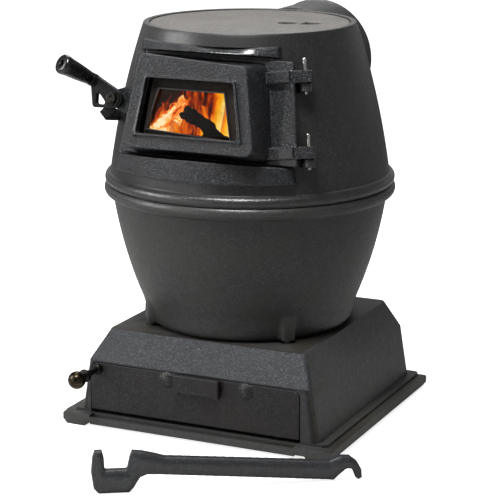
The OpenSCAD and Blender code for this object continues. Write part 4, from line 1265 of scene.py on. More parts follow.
@dataclass
class AshDrawer:
    """Cast drawer front with its pan, rivets, draft slide and ball latch."""

    face_y: float = -179
    rivet_xs: tuple[float, float] = (-46.5, 76.5)
    rivet_z: float = 83
    rivet_r: float = 12
    rivet_h: float = 4
    stem_r: float = 3
    stem_l: float = 9.4
    knob_x: float = -156.5
    knob_z: float = 86
    knob_y: float = -240
    knob_r: float = 12.7
    knob_neck: float = 3.4
    bore_r: float = 3.06
    gap: float = 0.3

    def front(self) -> None:
        """Cast the front and its two domed rivets."""
        cast_piece("drawer_front_casting", "drawer_front", DRAWER_AND_FRONT_SHADE_IRON, "ash_drawer",
                   1.2, 4)
        dome = (self.rivet_r ** 2 + self.rivet_h ** 2) / (2 * self.rivet_h)
        reach = math.degrees(math.asin(self.rivet_r / dome))
        profile = arc((0, self.rivet_h - dome), dome, 90, 90 - reach, 12)
        profile += [(self.stem_r, 0), (self.stem_r, -self.stem_l), (0, -self.stem_l)]
        rivets = [lathe(profile, on_front(x, self.face_y, self.rivet_z), 64)
                  for x in self.rivet_xs]
        finish_piece("draft_rivet_heads", joined(rivets), RIVET_IRON, "ash_drawer",
                     ["draft_rivets"], sharp=30)

    def pan(self) -> None:
        """Fold the ash pan and set its rivets."""
        machined_piece("ash_pan_sheet", "ash_pan", PAN_STEEL, "ash_drawer", 0.4)
        machined_piece("ash_pan_rivets", "pan_rivets", BOLT_STEEL, "ash_drawer",
                       0.5)

    def draft(self) -> None:
        """Cast the draft slide and cut its keeper."""
        cast_piece("draft_slide_block", "draft_slide", DRAWER_AND_FRONT_SHADE_IRON, "draft", 0.8, 5)
        machined_piece("draft_slide_keeper", "draft_keeper", BOLT_STEEL, "draft",
                       0.5)

    def latch(self) -> None:
        """Turn the ball knob, its collar and spindle, and cut the cam."""
        start = math.degrees(math.asin(self.knob_neck / self.knob_r))
        ball = arc((0, 0), self.knob_r, -90 + start, 90, 28)
        ball = [(self.bore_r, -self.knob_r + 5), (self.bore_r, ball[0][1])] + ball
        place = on_front(self.knob_x, self.knob_y, self.knob_z)
        finish_piece("ash_ball_knob", lathe([(0, -7.6)] + ball, place, 64), BRONZE, "ash_latch",
                     ["ash_knob"], sharp=40)
        reach = self.face_y - self.knob_y - self.knob_r - self.gap
        collar = [(self.bore_r, 0), (7.5, 0)] + arc((3.5, 4), 5, -20, 90, 8)
        collar += [(5, 11), (4.6, 16), (5, reach - 14), (8.6, reach - 12), (9.5, reach - 10),
                   (9.5, reach - 8), (8.6, reach - 6.2), (6.2, reach - 5), (5.6, reach - 2),
                   (6, reach), (self.bore_r, reach)]
        place = on_front(self.knob_x, self.face_y - self.gap, self.knob_z)
        finish_piece("ash_latch_collar", lathe(collar, place, 56, True, 0.4, 2), BLACK_STEEL,
                     "ash_latch", ["ash_collar"], sharp=40)
        machined_piece("ash_latch_spindle", "ash_spindle", BLACK_STEEL, "ash_latch",
                       0.4)
        cast_piece("ash_latch_cam", "ash_cam", BASE_IRON, "ash_latch", 0.6, 3)

    def build(self) -> None:
        """Make every piece."""
        self.front()
        self.pan()
        self.draft()
        self.latch()


@dataclass
class Pot:
    """Lower barrel with its foot, lugs and lower bead, and the grate in it."""

    foot_z: float = 140
    foot_bore: float = 125
    foot_round: float = 12
    lug_angles: tuple[float, ...] = (45, 135, 225, 315)
    lug_top: float = 186
    lug_r: float = 158.9
    lug_shoulder: float = 160
    lug_draft: float = 0.06
    lug_side: float = 12.5
    lug_fade: float = 4.5
    bolt_r: float = 151.2
    bolt_z: float = 132
    bead: tuple[float, float] = (199.5, 335)
    bead_r: float = 10.5
    steps: int = 360

    def section(self) -> list[tuple[float, float]]:
        """List the half section, from the foot's bore round the outside and back inside.

        Returns:
            Radius and height in mm of each corner.
        """
        foot = arc((138.7, self.foot_z + self.foot_round), self.foot_round, -90, -8, 6)
        low = [(151.6, 154), (152.8, 159), (154.2, 165), (155.7, 170.5)]
        outside = POT_WALL.points(175.5, 324, 34)
        bead = arc(self.bead, self.bead_r, -76, 49.6, 16)
        groove = [(199.5, JOINT_Z), (199.5, 339), (192.5, 339), (192.5, JOINT_Z)]
        inside = POT_WALL.points(JOINT_Z, 175, 16, -WALL) + [(144.7, 157), (self.foot_bore, 157)]
        return [(self.foot_bore, self.foot_z)] + foot + low + outside + bead + groove + inside

    def lug_push(self, v: Vector) -> float:
        """Find how far a lug lifts a point of the wall.

        Args:
            v: The point in metres.

        Returns:
            The lift in mm.
        """
        z, r = v.z / MM, math.hypot(v.x, v.y) / MM
        crest = self.lug_r - max(0.0, z - self.lug_shoulder) * self.lug_draft
        angle = math.degrees(math.atan2(v.y, v.x))
        off = min(abs((angle - a + 180) % 360 - 180) for a in self.lug_angles)
        across = clamp((self.lug_side - math.radians(off) * r) / self.lug_fade)
        return max(0.0, crest - r) * across * across * (3 - 2 * across)

    def barrel(self) -> None:
        """Turn the barrel and raise its four foot lugs."""
        bm = lathe(self.section(), steps=self.steps, closed=True, radius=1.6, angle=28)
        for v in bm.verts:
            r = math.hypot(v.co.x, v.co.y) / MM
            if v.co.z < self.lug_top * MM and r > 146:
                push = self.lug_push(v.co)
                v.co += Vector((v.co.x, v.co.y, 0)).normalized() * push * MM
        warp(bm, 0.25, 60, 3)
        rub(bm, lambda p: BEAD_WEAR if p.z > 334 and math.hypot(p.x, p.y) > 203 else 0)
        pot = finish_piece("pot_casting", bm, BODY_IRON, "stove", ["pot"], sharp=60)
        soot_inside(pot, POT_WALL, 176, JOINT_Z - 1)

    def fittings(self) -> None:
        """Set the bolts, the joint's seal and the grate."""
        bolts = [hex_bolt(turn(a, "Z") @ shift(self.bolt_r, 0, self.bolt_z) @ turn(180, "X"),
                          head_r=7, head_h=6, shank_r=4, shank_l=25)
                 for a in self.lug_angles]
        finish_piece("pot_foot_bolts", joined(bolts), BOLT_STEEL, "stove",
                     ["pot_bolts"], sharp=30)
        seal = lathe(arc((196, 341), 2.9, 0, 340, 17), steps=180, closed=True)
        finish_piece("belt_rope_seal", seal, ROPE, "stove", ["belt_seal"])
        machined_piece("grate_seat_ring", "grate_ring", SOOT_AND_SHADE_IRON, "stove", 0.6)
        cast_piece("grate_casting", "shaker_grate", SOOT_AND_SHADE_IRON, "grate", 1.4, 3)

    def build(self) -> None:
        """Make every piece."""
        self.barrel()
        self.fittings()


@dataclass
class UpperBarrel:
    """Upper barrel with its bead, rim and hinge ears, the lid, and the flue collar."""

    bead: tuple[float, float] = (200, 350.5)
    bead_r: float = 9
    ear_levels: tuple[float, float] = (-78.1, 23.5)
    ear_h: float = 12
    flat_low: float = -80
    flat_high: float = 66
    beyond: float = 210
    opening_half: float = 109.4
    opening_taper: float = 0.193
    opening_low: float = -92
    opening_high: float = 72
    flue_r: float = 73
    flue_z: float = 489
    flue_l: float = 255
    steps: int = 300

    def section(self) -> list[tuple[float, float]]:
        """List the half section, up the outside, over the rim and down the inside.

        Returns:
            Radius and height in mm of each corner.
        """
        bead = arc(self.bead, self.bead_r, -56.4, 84, 18)
        outside = UPPER_WALL.points(361.5, 572, 40)
        rim = [(142.8, 572), (142.8, 563.5), (130.3, 563.5), (130.3, 556.5)]
        return bead + outside + rim + UPPER_WALL.points(556.5, JOINT_Z, 22, -WALL)

    def ear(self, s: float) -> BMesh:
        """Make one hinge ear: an eye round the pin with its arm back to the barrel.

        Args:
            s: Its foot along the hinge axis in mm.

        Returns:
            The ear.
        """
        bm = bmesh.new()
        for x, y, r in ((0, 0, 9), (-19, 17, 7)):
            for z in (0, self.ear_h):
                bmesh.ops.create_circle(bm, segments=40, radius=r * MM,
                                        matrix=shift(x, y, z))
        hull = bmesh.ops.convex_hull(bm, input=bm.verts)
        spare = set(hull["geom_interior"] + hull["geom_unused"])
        bmesh.ops.delete(bm, geom=list(spare), context="VERTS")
        bmesh.ops.dissolve_limit(bm, angle_limit=math.radians(1), verts=bm.verts, edges=bm.edges)
        round_edges(bm, 1.8, 4, 60)
        bmesh.ops.transform(bm, matrix=hinge_axis(s), verts=bm.verts)
        return bm

    def barrel(self) -> None:
        """Turn the barrel, then cut the door's flat, its opening and the flue hole."""
        bm = lathe(self.section(), steps=self.steps, closed=True, radius=1.6, angle=28)
        bm = cut_away(bm, block((-self.beyond, self.flat_low, 0),
                                (self.beyond, self.flat_high, self.beyond), door_plane()))
        foot = self.opening_half - self.opening_taper * self.opening_low
        head = self.opening_half - self.opening_taper * self.opening_high
        corners = [(-foot, self.opening_low), (foot, self.opening_low),
                   (head, self.opening_high), (-head, self.opening_high)]
        bm = cut_away(bm, outline_solid(corners, 2 * self.beyond,
                                        shift(z=DOOR_Z) @ turn(90, "X")))
        pipe = [(0, 0), (self.flue_r, 0), (self.flue_r, self.flue_l), (0, self.flue_l)]
        bm = cut_away(bm, lathe(pipe, shift(z=self.flue_z) @ turn(-90, "X"), 144))
        bm = joined([bm] + [self.ear(s) for s in self.ear_levels])
        rub(bm, self.wear)
        upper = finish_piece("upper_barrel_casting", bm, UPPER_IRON, "stove",
                             ["upper_body"], sharp=40)
        soot_inside(upper, UPPER_WALL, JOINT_Z + 1, 557)

    def wear(self, p: Vector) -> float:
        """Find how far the barrel is rubbed: on its bead, and on its ears and rim.

        Args:
            p: The point in mm.

        Returns:
            The share, from 0 to 1.
        """
        r = math.hypot(p.x, p.y)
        bead = 348 < p.z < 360 and r > 202
        return BEAD_WEAR if bead or p.z > 380 and r > UPPER_WALL.radius_at(p.z) + 1 else 0

    def lid(self) -> None:
        """Cast the lid with its sunk pocket and bridge bar."""
        cast_piece("lid_casting", "lid", LID_GREY_AND_LIGHT_IRON, "lid", 1.3, 3, 0.5)

    def flue(self) -> None:
        """Cast the flue collar and set its bolts."""
        cast_piece("flue_collar_casting", "flue_collar", BODY_IRON, "stove",
                   1.9, 5, 0.5)
        machined_piece("flue_collar_bolts", "collar_bolts", BOLT_STEEL, "stove",
                       0.5)

    def build(self) -> None:
        """Make every piece."""
        self.barrel()
        self.lid()
        self.flue()


@dataclass
class FeedDoor:
    """Door frame on the barrel, the feed door with its window, and the hinge pins.

    Names that end in _w are distances out of the door's plane. The hood's middle and spread are
    degrees round the stove, and each wear is a share from 0 to 1 or a little past it.
    """

    pin_r: float = 2.5
    pin_foot: float = -15.5
    pin_top: float = 31
    lug_levels: tuple[float, float] = (-65.6, 36.0)
    lug_x: float = 118
    hood_slope: float = 7.0
    hood_low: float = 540
    hood_bend: float = 547
    hood_high: float = 562
    hood_r: float = 165
    hood_middle: float = 13
    hood_spread: float = 21
    hood_wear_top: float = 1.6
    face_wear: float = 0.08
    plate_w: float = 5
    box_w: float = 50
    face_w: float = 56.6
    top_round: float = 5.0
    side_round: float = 3.0
    bead_round: float = 0.9
    plate_round: float = 1.4
    bead_proud: float = 1.5
    face_rise: float = 10
    foot_rise: float = 4.4

    def surround(self) -> None:
        """Cast the frame that laps over the barrel."""
        bm = sand_cast("door_frame", 1.1, 4, 0.6)
        for v in bm.verts:
            p = v.co / MM
            share = (self.hood_wear(p) / self.hood_wear_top) ** 2 * clamp(
                (p.z - self.hood_bend) / 8)
            if share > 0.01:
                v.co -= Vector((p.x, p.y, 0)).normalized() * self.hood_slope * MM * share
        rub(bm, self.hood_wear)
        finish_piece("door_frame_casting", bm, DOOR_IRON, "stove", ["door_frame"])

    def hood_wear(self, p: Vector) -> float:
        """Find how far the hood is rubbed bright, most in the middle of its lower edge.

        Args:
            p: The point in mm.

        Returns:
            The share, which is past 1 in the middle.
        """
        aside = math.degrees(math.atan2(p.x, -p.y)) - self.hood_middle
        share = max(0.0, (1 - (aside / self.hood_spread) ** 2) * self.hood_wear_top)
        on_hood = self.hood_low < p.z < self.hood_high and math.hypot(p.x, p.y) > self.hood_r
        return share if on_hood else self.face_wear

    def lift(self, p: Vector) -> Vector:
        """Find how far a point of the door moves: its box's top left up, its bead out.

        Args:
            p: The point in the door's frame, in mm.

        Returns:
            The move in mm.
        """
        on_bead = p.z > 55.8 and abs(p.x) < 78 and -54 < p.y < 34
        if on_bead:
            outer = abs(p.x) + 0.15 * p.y > 71 or not -50.5 < p.y < 30.5
            inward = Vector((-0.027 * p.x, -0.047 * (p.y + 10), 0)) if outer else Vector()
            return inward + Vector((0, 0, self.bead_proud if p.z > 58.5 else 0))
        on_top = p.y > 45 and p.z > 8.3 and abs(p.x) < 101
        if on_top:
            rise = self.face_rise if p.z > self.box_w else self.foot_rise
            return Vector((0, rise * clamp((70 - p.x) / 160), 0))
        return Vector()

    def door_wear(self, p: Vector) -> float:
        """Find how far the door is rubbed: a little on its face, more on bead and hinge lugs.

        Args:
            p: The point in mm.

        Returns:
            The share, from 0 to 1.
        """
        at = door_plane().inverted() @ (p * MM) / MM
        if at.x > self.lug_x:
            return 0.55
        return 0.5 if at.z > 57.6 else 0.16 if at.z > self.box_w else self.face_wear

    def inner_frame(self) -> None:
        """Fold the thin sheet frame round the glass, with a ridge along its inner edge."""
        edge = [(-70, -54), (73, -58), (63, 28), (-60, 28)]
        outside = [(-65.5, -42.4), (63, -50.4), (49.6, 14.8), (-50, 15)]
        inside = [(-64, -41), (61.5, -48.8), (48.4, 13.2), (-48.6, 13.4)]
        back, face, crest = 47.3, 48.2, 51.2
        bm = bmesh.new()
        rings = [[bm.verts.new((x, v, w)) for x, v in outline]
                 for outline, w in ((edge, face), (outside, face), (outside, crest),
                                    (inside, crest), (inside, back), (edge, back))]
        # The rings are joined face by face, because bridging them would close the window.
        for one, two in zip(rings, rings[1:] + rings[:1]):
            for i in range(4):
                bm.faces.new((one[i - 1], one[i], two[i], two[i - 1]))
        bmesh.ops.recalc_face_normals(bm, faces=bm.faces)
        bevel(bm, [e for e in bm.edges if min(v.co.z for v in e.verts) > crest - 1], 0.8, 3)
        bmesh.ops.transform(bm, matrix=door_plane() @ Matrix.Scale(MM, 4), verts=bm.verts)
        piece = finish_piece("window_inner_frame", bm, DOOR_IRON, "feed_door",
                             sharp=40)
        # The frame's flat front faces take the dark sooted iron as a painted shade of the recess
        # behind the bead.
        piece.data.materials.append(SOOT_AND_SHADE_IRON.material())
        out = door_plane().to_3x3() @ Vector((0, 0, 1))
        for side in piece.data.polygons:
            depth = (door_plane().inverted() @ side.center).z / MM
            if depth < face + 0.2 and side.normal.dot(out) > 0.5:
                side.material_index = 1

    def door(self) -> None:
        """Cast the door and fill its window."""
        door = rounded_copy("feed_door", door_plane(), [
            (self.top_round, lambda p: self.box_w < p.z < self.face_w and p.y > 40),
            (self.side_round, lambda p: self.box_w < p.z < self.face_w
             and (abs(p.x) > 77 or p.y < -60)),
            (self.bead_round, lambda p: p.z > self.box_w),
            (self.plate_round, lambda p: p.z > self.plate_w)], self.lift)
        door = run_modifiers(door, [voxels(0.95), smoothing(2), ("DECIMATE", {"ratio": 0.5})])
        rub(door, self.door_wear)
        finish_piece("feed_door_casting", door, DOOR_IRON, "feed_door",
                     ["feed_door"])
        self.inner_frame()
        cast_piece("door_rope_seal", "door_gasket", ROPE, "feed_door", 0.9, 6, 0.5)
        cast_piece("window_rope_seal", "window_gasket", ROPE, "feed_door",
                   0.8, 3, 0.5)
        machined_piece("window_pane", "window_glass", GLASS, "feed_door", 0.4)
        machined_piece("window_retainer", "glass_retainer", BOLT_STEEL, "feed_door",
                       0.5)
        machined_piece("window_retainer_screws", "retainer_screws", BOLT_STEEL, "feed_door",
                       0.3)

    def pins(self) -> None:
        """Turn the two loose hinge pins with their ball tops."""
        for name, level in (("hinge_pin_lower", self.lug_levels[0]),
                            ("hinge_pin_upper", self.lug_levels[1])):
            profile = [(0, self.pin_foot), (self.pin_r - 0.6, self.pin_foot),
                       (self.pin_r, self.pin_foot + 0.6), (self.pin_r, self.pin_top - 2)]
            profile += arc((0, self.pin_top), self.pin_r + 0.4, -52, 90, 12)
            finish_piece(name + "_turned", lathe(profile, hinge_axis(level), 40), BRIGHT_STEEL,
                         "stove", [name], sharp=35)

    def build(self) -> None:
        """Make every piece."""
        self.surround()
        self.door()
        self.pins()


@dataclass
class FeedLatch:
    """Latch arm with its phenolic grip, pivot, washers, hook, and the barrel's catch."""

    grip_l: float = 54
    root_r: float = 9
    end_r: float = 14
    bore_r: float = 3.3
    reach: float = 8.3
    arm_wear: float = 0.08

    def arm(self) -> None:
        """Cast the arm, the hook behind the door and the catch on the barrel."""
        arm = sand_cast("latch_arm", 0.65, 6)
        rub(arm, lambda p: self.arm_wear)
        finish_piece("latch_arm_casting", arm, ARM_IRON, "latch", ["latch_arm"])
        cast_piece("latch_hook_casting", "latch_hook", BODY_IRON, "latch", 0.7, 4)
        cast_piece("latch_catch_casting", "latch_catch", ARM_IRON, "stove", 0.8, 4)

    def pivot(self) -> None:
        """Turn the pivot bolt and its two washers."""
        machined_piece("latch_pivot_bolt", "latch_bolt", BLACK_STEEL, "latch", 0.6)
        machined_piece("latch_pivot_washers", "latch_washers", BLACK_STEEL, "latch",
                       0.3)

    def grip(self) -> None:
        """Turn the tapered grip and the screw that holds it."""
        profile = [(self.bore_r, 0), (self.root_r - 0.8, 0), (self.root_r, 0.9),
                   (self.root_r + 0.6, 3)]
        profile += [(self.root_r + 1.9, 14), (self.root_r + 3.0, 24),
                    (self.end_r - 1.0, self.grip_l * 0.72)]
        profile += arc((self.end_r - 5, self.grip_l - 6), 5.5, 5, 85, 10)
        profile += [(5.6, self.grip_l - 0.5), (5.2, self.grip_l - 1.2),
                    (self.bore_r, self.grip_l - 1.2)]
        finish_piece("latch_grip_moulding", lathe(profile, grip_axis(self.reach), 64, True),
                     GRIP, "latch", ["latch_grip"], sharp=45)
        seat = self.grip_l + self.reach
        screw = lathe([(0, 0), (3, 0), (3, seat), (5, seat),
                       (5, self.grip_l + 9.9), (4.6, self.grip_l + 10.8),
                       (3.2, self.grip_l + 11.3), (0, self.grip_l + 11.3)], grip_axis(0), 48)
        slot = block((-0.6, -6, self.grip_l + 10), (0.6, 6, self.grip_l + 13), grip_axis(0))
        finish_piece("latch_grip_screw", cut_away(screw, slot), BLACK_STEEL, "latch",
                     ["grip_screw"], sharp=30)

    def build(self) -> None:
        """Make every piece."""
        self.arm()
        self.pivot()
        self.grip()


@dataclass
class Lifter:
    """Loose cast lifter that lies in front of the base."""

    crown: float = 5.0
    reach: float = 12.0
    depth: float = 10.0
    place: Matrix = field(default_factory=lambda: shift(13.6, -398) @ turn(34, "Z"))

    def build(self) -> None:
        """Cast the lifter with a crowned front."""
        blank = rounded_copy("lid_lifter", self.place, [])
        blank.transform(self.place.inverted())
        rim = [tuple(v.co / MM for v in e.verts) for e in blank.edges
               if all(v.co.y < 0.1 * MM for v in e.verts) and e.calc_face_angle(0) > 1]
        bm = run_modifiers(blank, [voxels(1.0)])
        for v in bm.verts:
            p = v.co / MM
            if p.y < self.depth:
                flat = Vector((p.x, 0, p.z))
                near = min((closest(flat, a, b) - flat).length for a, b in rim)
                fall = self.crown * max(0.0, 1 - near / self.reach) ** 2
                v.co.y += fall * MM * (1 - p.y / self.depth)
        bm = run_modifiers(bm, [smoothing(9)])
        rub(bm, lambda p: 0.5 * max(0.0, 1 - p.y / 2.5))
        bm.transform(self.place)
        finish_piece("lid_lifter_casting", bm, LIFTER_IRON, "lifter", ["lid_lifter"])


@dataclass
class Fire:
    """Heap of charcoal on the grate, burning logs, embers and flames behind the window."""

    heap_low: float = 172
    heap_top: float = 392
    pane_w: float = 45
    drift: tuple[float, float] = (0.45, 0.262)
    banked: int = 58
    scattered: int = 34
    chance: random.Random = field(default_factory=lambda: random.Random(7))

    def behind(self, x: float, v: float, w: float) -> Vector:
        """Find the point at depth w behind a place on the pane, along the usual line of sight.

        Args:
            x: Place across the pane in mm.
            v: Place up the pane in mm.
            w: Depth in mm; the door plane is at 0 and the pane at 45.

        Returns:
            The point in metres.
        """
        deep = self.pane_w - w
        seen = Vector((x - self.drift[0] * deep, v - self.drift[1] * deep, w))
        return door_plane() @ (seen * MM)

    def heat(self, bm: BMesh, rule: Callable[[Vector], float]) -> None:
        """Store how hot each point is, for the shader.

        Args:
            bm: The mesh.
            rule: Gives the heat of a point in metres; what is stored lies from 0 to 1.5.
        """
        layer = bm.verts.layers.float.get("hotness") or bm.verts.layers.float.new("hotness")
        for v in bm.verts:
            v[layer] = clamp(rule(v.co), 1.5)

    def heap(self) -> None:
        """Pile the charcoal from the grate up to the feed opening."""
        rings = [(0, self.heap_low), (112, self.heap_low), (122, 182), (136, 205), (150, 260),
                 (158, 310), (160, 345), (152, 366), (128, 378), (96, 386), (52, 391),
                 (0, self.heap_top)]
        bm = lathe(rings, steps=72)
        bmesh.ops.subdivide_edges(bm, edges=bm.edges, cuts=1, use_grid_fill=True)
        bmesh.ops.triangulate(bm, faces=bm.faces)
        warp(bm, 14, 34, 11)
        warp(bm, 6, 12, 5)
        self.heat(bm, lambda p: 0.3 + 0.5 * noise.noise(p / 0.04)
                  + (0.4 if p.y < -0.05 and p.z > 0.34 else 0))
        finish_piece("charcoal_heap", bm, COAL, "stove")

    def chunk(self, centre: Vector, size: float, stretch: float) -> BMesh:
        """Break off one lump of charcoal.

        Args:
            centre: Where it lies, in metres.
            size: Its radius in mm.
            stretch: Its length over its width.

        Returns:
            The lump.
        """
        bm = bmesh.new()
        bmesh.ops.create_icosphere(bm, subdivisions=3, radius=size * MM)
        turned = Matrix.Rotation(self.chance.uniform(0, 6.28), 4, "Z") @ Matrix.Rotation(
            self.chance.uniform(-0.7, 0.7), 4, "X")
        bmesh.ops.transform(bm, matrix=turned @ Matrix.Diagonal((stretch, 1, 0.75, 1)),
                            verts=bm.verts)
        warp(bm, size * 0.55, size * 1.1, self.chance.uniform(0, 90))
        bmesh.ops.translate(bm, vec=centre, verts=bm.verts)
        return bm

    def embers(self) -> None:
        """Bank white-hot embers in the window's lower left and scatter more on the heap."""
        hot = []
        while len(hot) < self.banked:
            x, v = self.chance.uniform(-70, 6), self.chance.uniform(-66, -8)
            if v > -16 - (x + 70) * 0.42:
                continue
            hot.append(self.chunk(self.behind(x, v, self.chance.uniform(-62, -30)),
                                  self.chance.uniform(5, 10), 1.7))
        for _ in range(self.scattered):
            x, y = self.chance.uniform(-110, 110), self.chance.uniform(-120, 60)
            hot.append(self.chunk(Vector((x, y, self.chance.uniform(382, 394))) * MM,
                                  self.chance.uniform(7, 12), 1.3))
        bm = joined(hot)
        centre = self.behind(-50, -44, -42)
        self.heat(bm, lambda p: 0.95 - (p - centre).length / 0.16
                  + 0.2 * noise.noise(p / 0.012))
        finish_piece("ember_bank", bm, EMBER, "stove")

    def log(self, start: Vector, end: Vector, radius: float, seed: float,
            taper: float) -> BMesh:
        """Split and char one log.

        Args:
            start: Middle of one end in metres.
            end: Middle of the other end in metres.
            radius: Its radius in mm.
            seed: Shifts its bumps.
            taper: Radius of its end over that of its start.

        Returns:
            The log.
        """
        along = end - start
        length = along.length / MM
        rings = [(0, 0), (radius * 0.8, 0), (radius, 3)]
        rings += [(radius * (1 + (taper - 1) * i / 26) * (1 + 0.05 * math.sin(i)),
                   3 + (length - 6) * i / 26) for i in range(1, 26)]
        rings += [(radius * taper, length - 3), (radius * taper * 0.7, length), (0, length)]
        place = Matrix.Translation(start) @ along.to_track_quat("Z", "Y").to_matrix().to_4x4()
        bm = lathe(rings, place, 40)
        warp(bm, radius * 0.32, radius * 0.9, seed)
        warp(bm, radius * 0.2, radius * 0.3, seed + 9)
        return bm

    def logs(self) -> None:
        """Lay black logs across, behind and along the foot, and lean burning wood on them."""
        across = ((-14, 6, -34), (84, -50, -44), 9.5, 0.7)
        rear = ((16, -20, -84), (96, -44, -96), 14, 0.9)
        low = ((-70, -62, -28), (70, -74, -62), 13, 1.0)
        black = [self.log(self.behind(*start), self.behind(*end), radius, 4.0 * i, taper)
                 for i, (start, end, radius, taper) in enumerate((across, rear, low))]
        bm = joined(black)
        warp(bm, 5, 11, 2)
        warp(bm, 2.5, 4.5, 7)
        hot = self.behind(-14, -38, -34)
        self.heat(bm, lambda p: 0.72 - (p - hot).length / 0.075 + 0.2 * noise.noise(p / 0.02))
        finish_piece("charred_logs", bm, LOG_CHAR, "stove")
        lean = joined([
            self.log(self.behind(-68, -42, -40), self.behind(-17, 30, -66), 13, 31, 0.55),
            self.log(self.behind(-52, -48, -36), self.behind(-22, 2, -58), 8, 47, 0.7)])
        foot = self.behind(-62, -32, -40)
        self.heat(lean, lambda p: 0.85 - (p - foot).length / 0.32)
        finish_piece("burning_log", lean, BURNING, "stove")
        twigs = [self.log(self.behind(-6, 18, -60), self.behind(16, -10, -60), 0.9, 3, 0.8),
                 self.log(self.behind(-2, 14, -66), self.behind(10, 2, -70), 0.7, 8, 0.8)]
        bm = joined(twigs)
        self.heat(bm, lambda p: 0.8)
        finish_piece("burning_twigs", bm, EMBER, "stove")

    def tongue(self, foot: tuple[float, float, float], width: float, height: float,
               lean: float, seed: float, heat: float, fall: float = 0.5) -> BMesh:
        """Draw one sheet of flame.

        Args:
            foot: Middle of its foot: across and up the pane and deep, in mm.
            width: Its width in mm.
            height: Its height in mm.
            lean: How far its tip leans sideways, in mm.
            seed: Shifts its waves.
            heat: Heat in the middle of its foot.
            fall: How far the heat falls to the tip.

        Returns:
            The sheet, with the heat of each point.
        """
        bm = bmesh.new()
        bmesh.ops.create_grid(bm, x_segments=24, y_segments=40, size=0.5)
        layer = bm.verts.layers.float.new("hotness")
        for v in bm.verts:
            across, up = v.co.x * 2, v.co.y + 0.5
            sway = noise.noise(Vector((seed, up * 2.2, 0.0))) * 10
            v[layer] = (heat - fall * up - 0.8 * across ** 2 * (0.6 + 0.7 * up)
                        - max(0.0, 0.12 - up) * 3)
            x = foot[0] + across * width / 2 * (1 - 0.35 * up) + lean * up ** 1.5 + sway * up
            w = foot[2] + 9 * math.sin(across * 2.2 + seed) + 6 * noise.noise(
                Vector((across * 2, up * 3, seed)))
            v.co = self.behind(x, foot[1] + up * height, w)
        return bm

    def flames(self) -> None:
        """Raise yellow flames on the right and small orange ones on the left."""
        tall = [self.tongue((48, -44, -66), 50, 130, -6, 1.0, 1.4, 0.95),
                self.tongue((46, -34, -86), 56, 112, 14, 5.0, 0.8, 0.6),
                self.tongue((60, -50, -54), 36, 140, -2, 9.0, 1.2, 0.85),
                self.tongue((22, -24, -74), 30, 50, -10, 4.0, 0.8)]
        finish_piece("flames_right", joined(tall), FLAME_TALL, "stove")
        low = [self.tongue((-40, -22, -74), 46, 56, 22, 2.0, 0.8),
               self.tongue((-58, -10, -92), 44, 52, 18, 6.0, 0.62),
               self.tongue((-16, -52, -26), 46, 40, -14, 3.0, 0.85),
               self.tongue((16, -60, -22), 76, 30, -20, 17.0, 0.8),
               self.tongue((0, -50, -112), 190, 150, 0, 8.0, 0.38, 0.12),
               self.tongue((-30, -20, -104), 90, 90, 20, 12.0, 0.5, 0.3)]
        finish_piece("flames_left", joined(low), FLAME, "stove")

    def build(self) -> None:
        """Make every piece."""
        self.heap()
        self.embers()
        self.logs()
        self.flames()


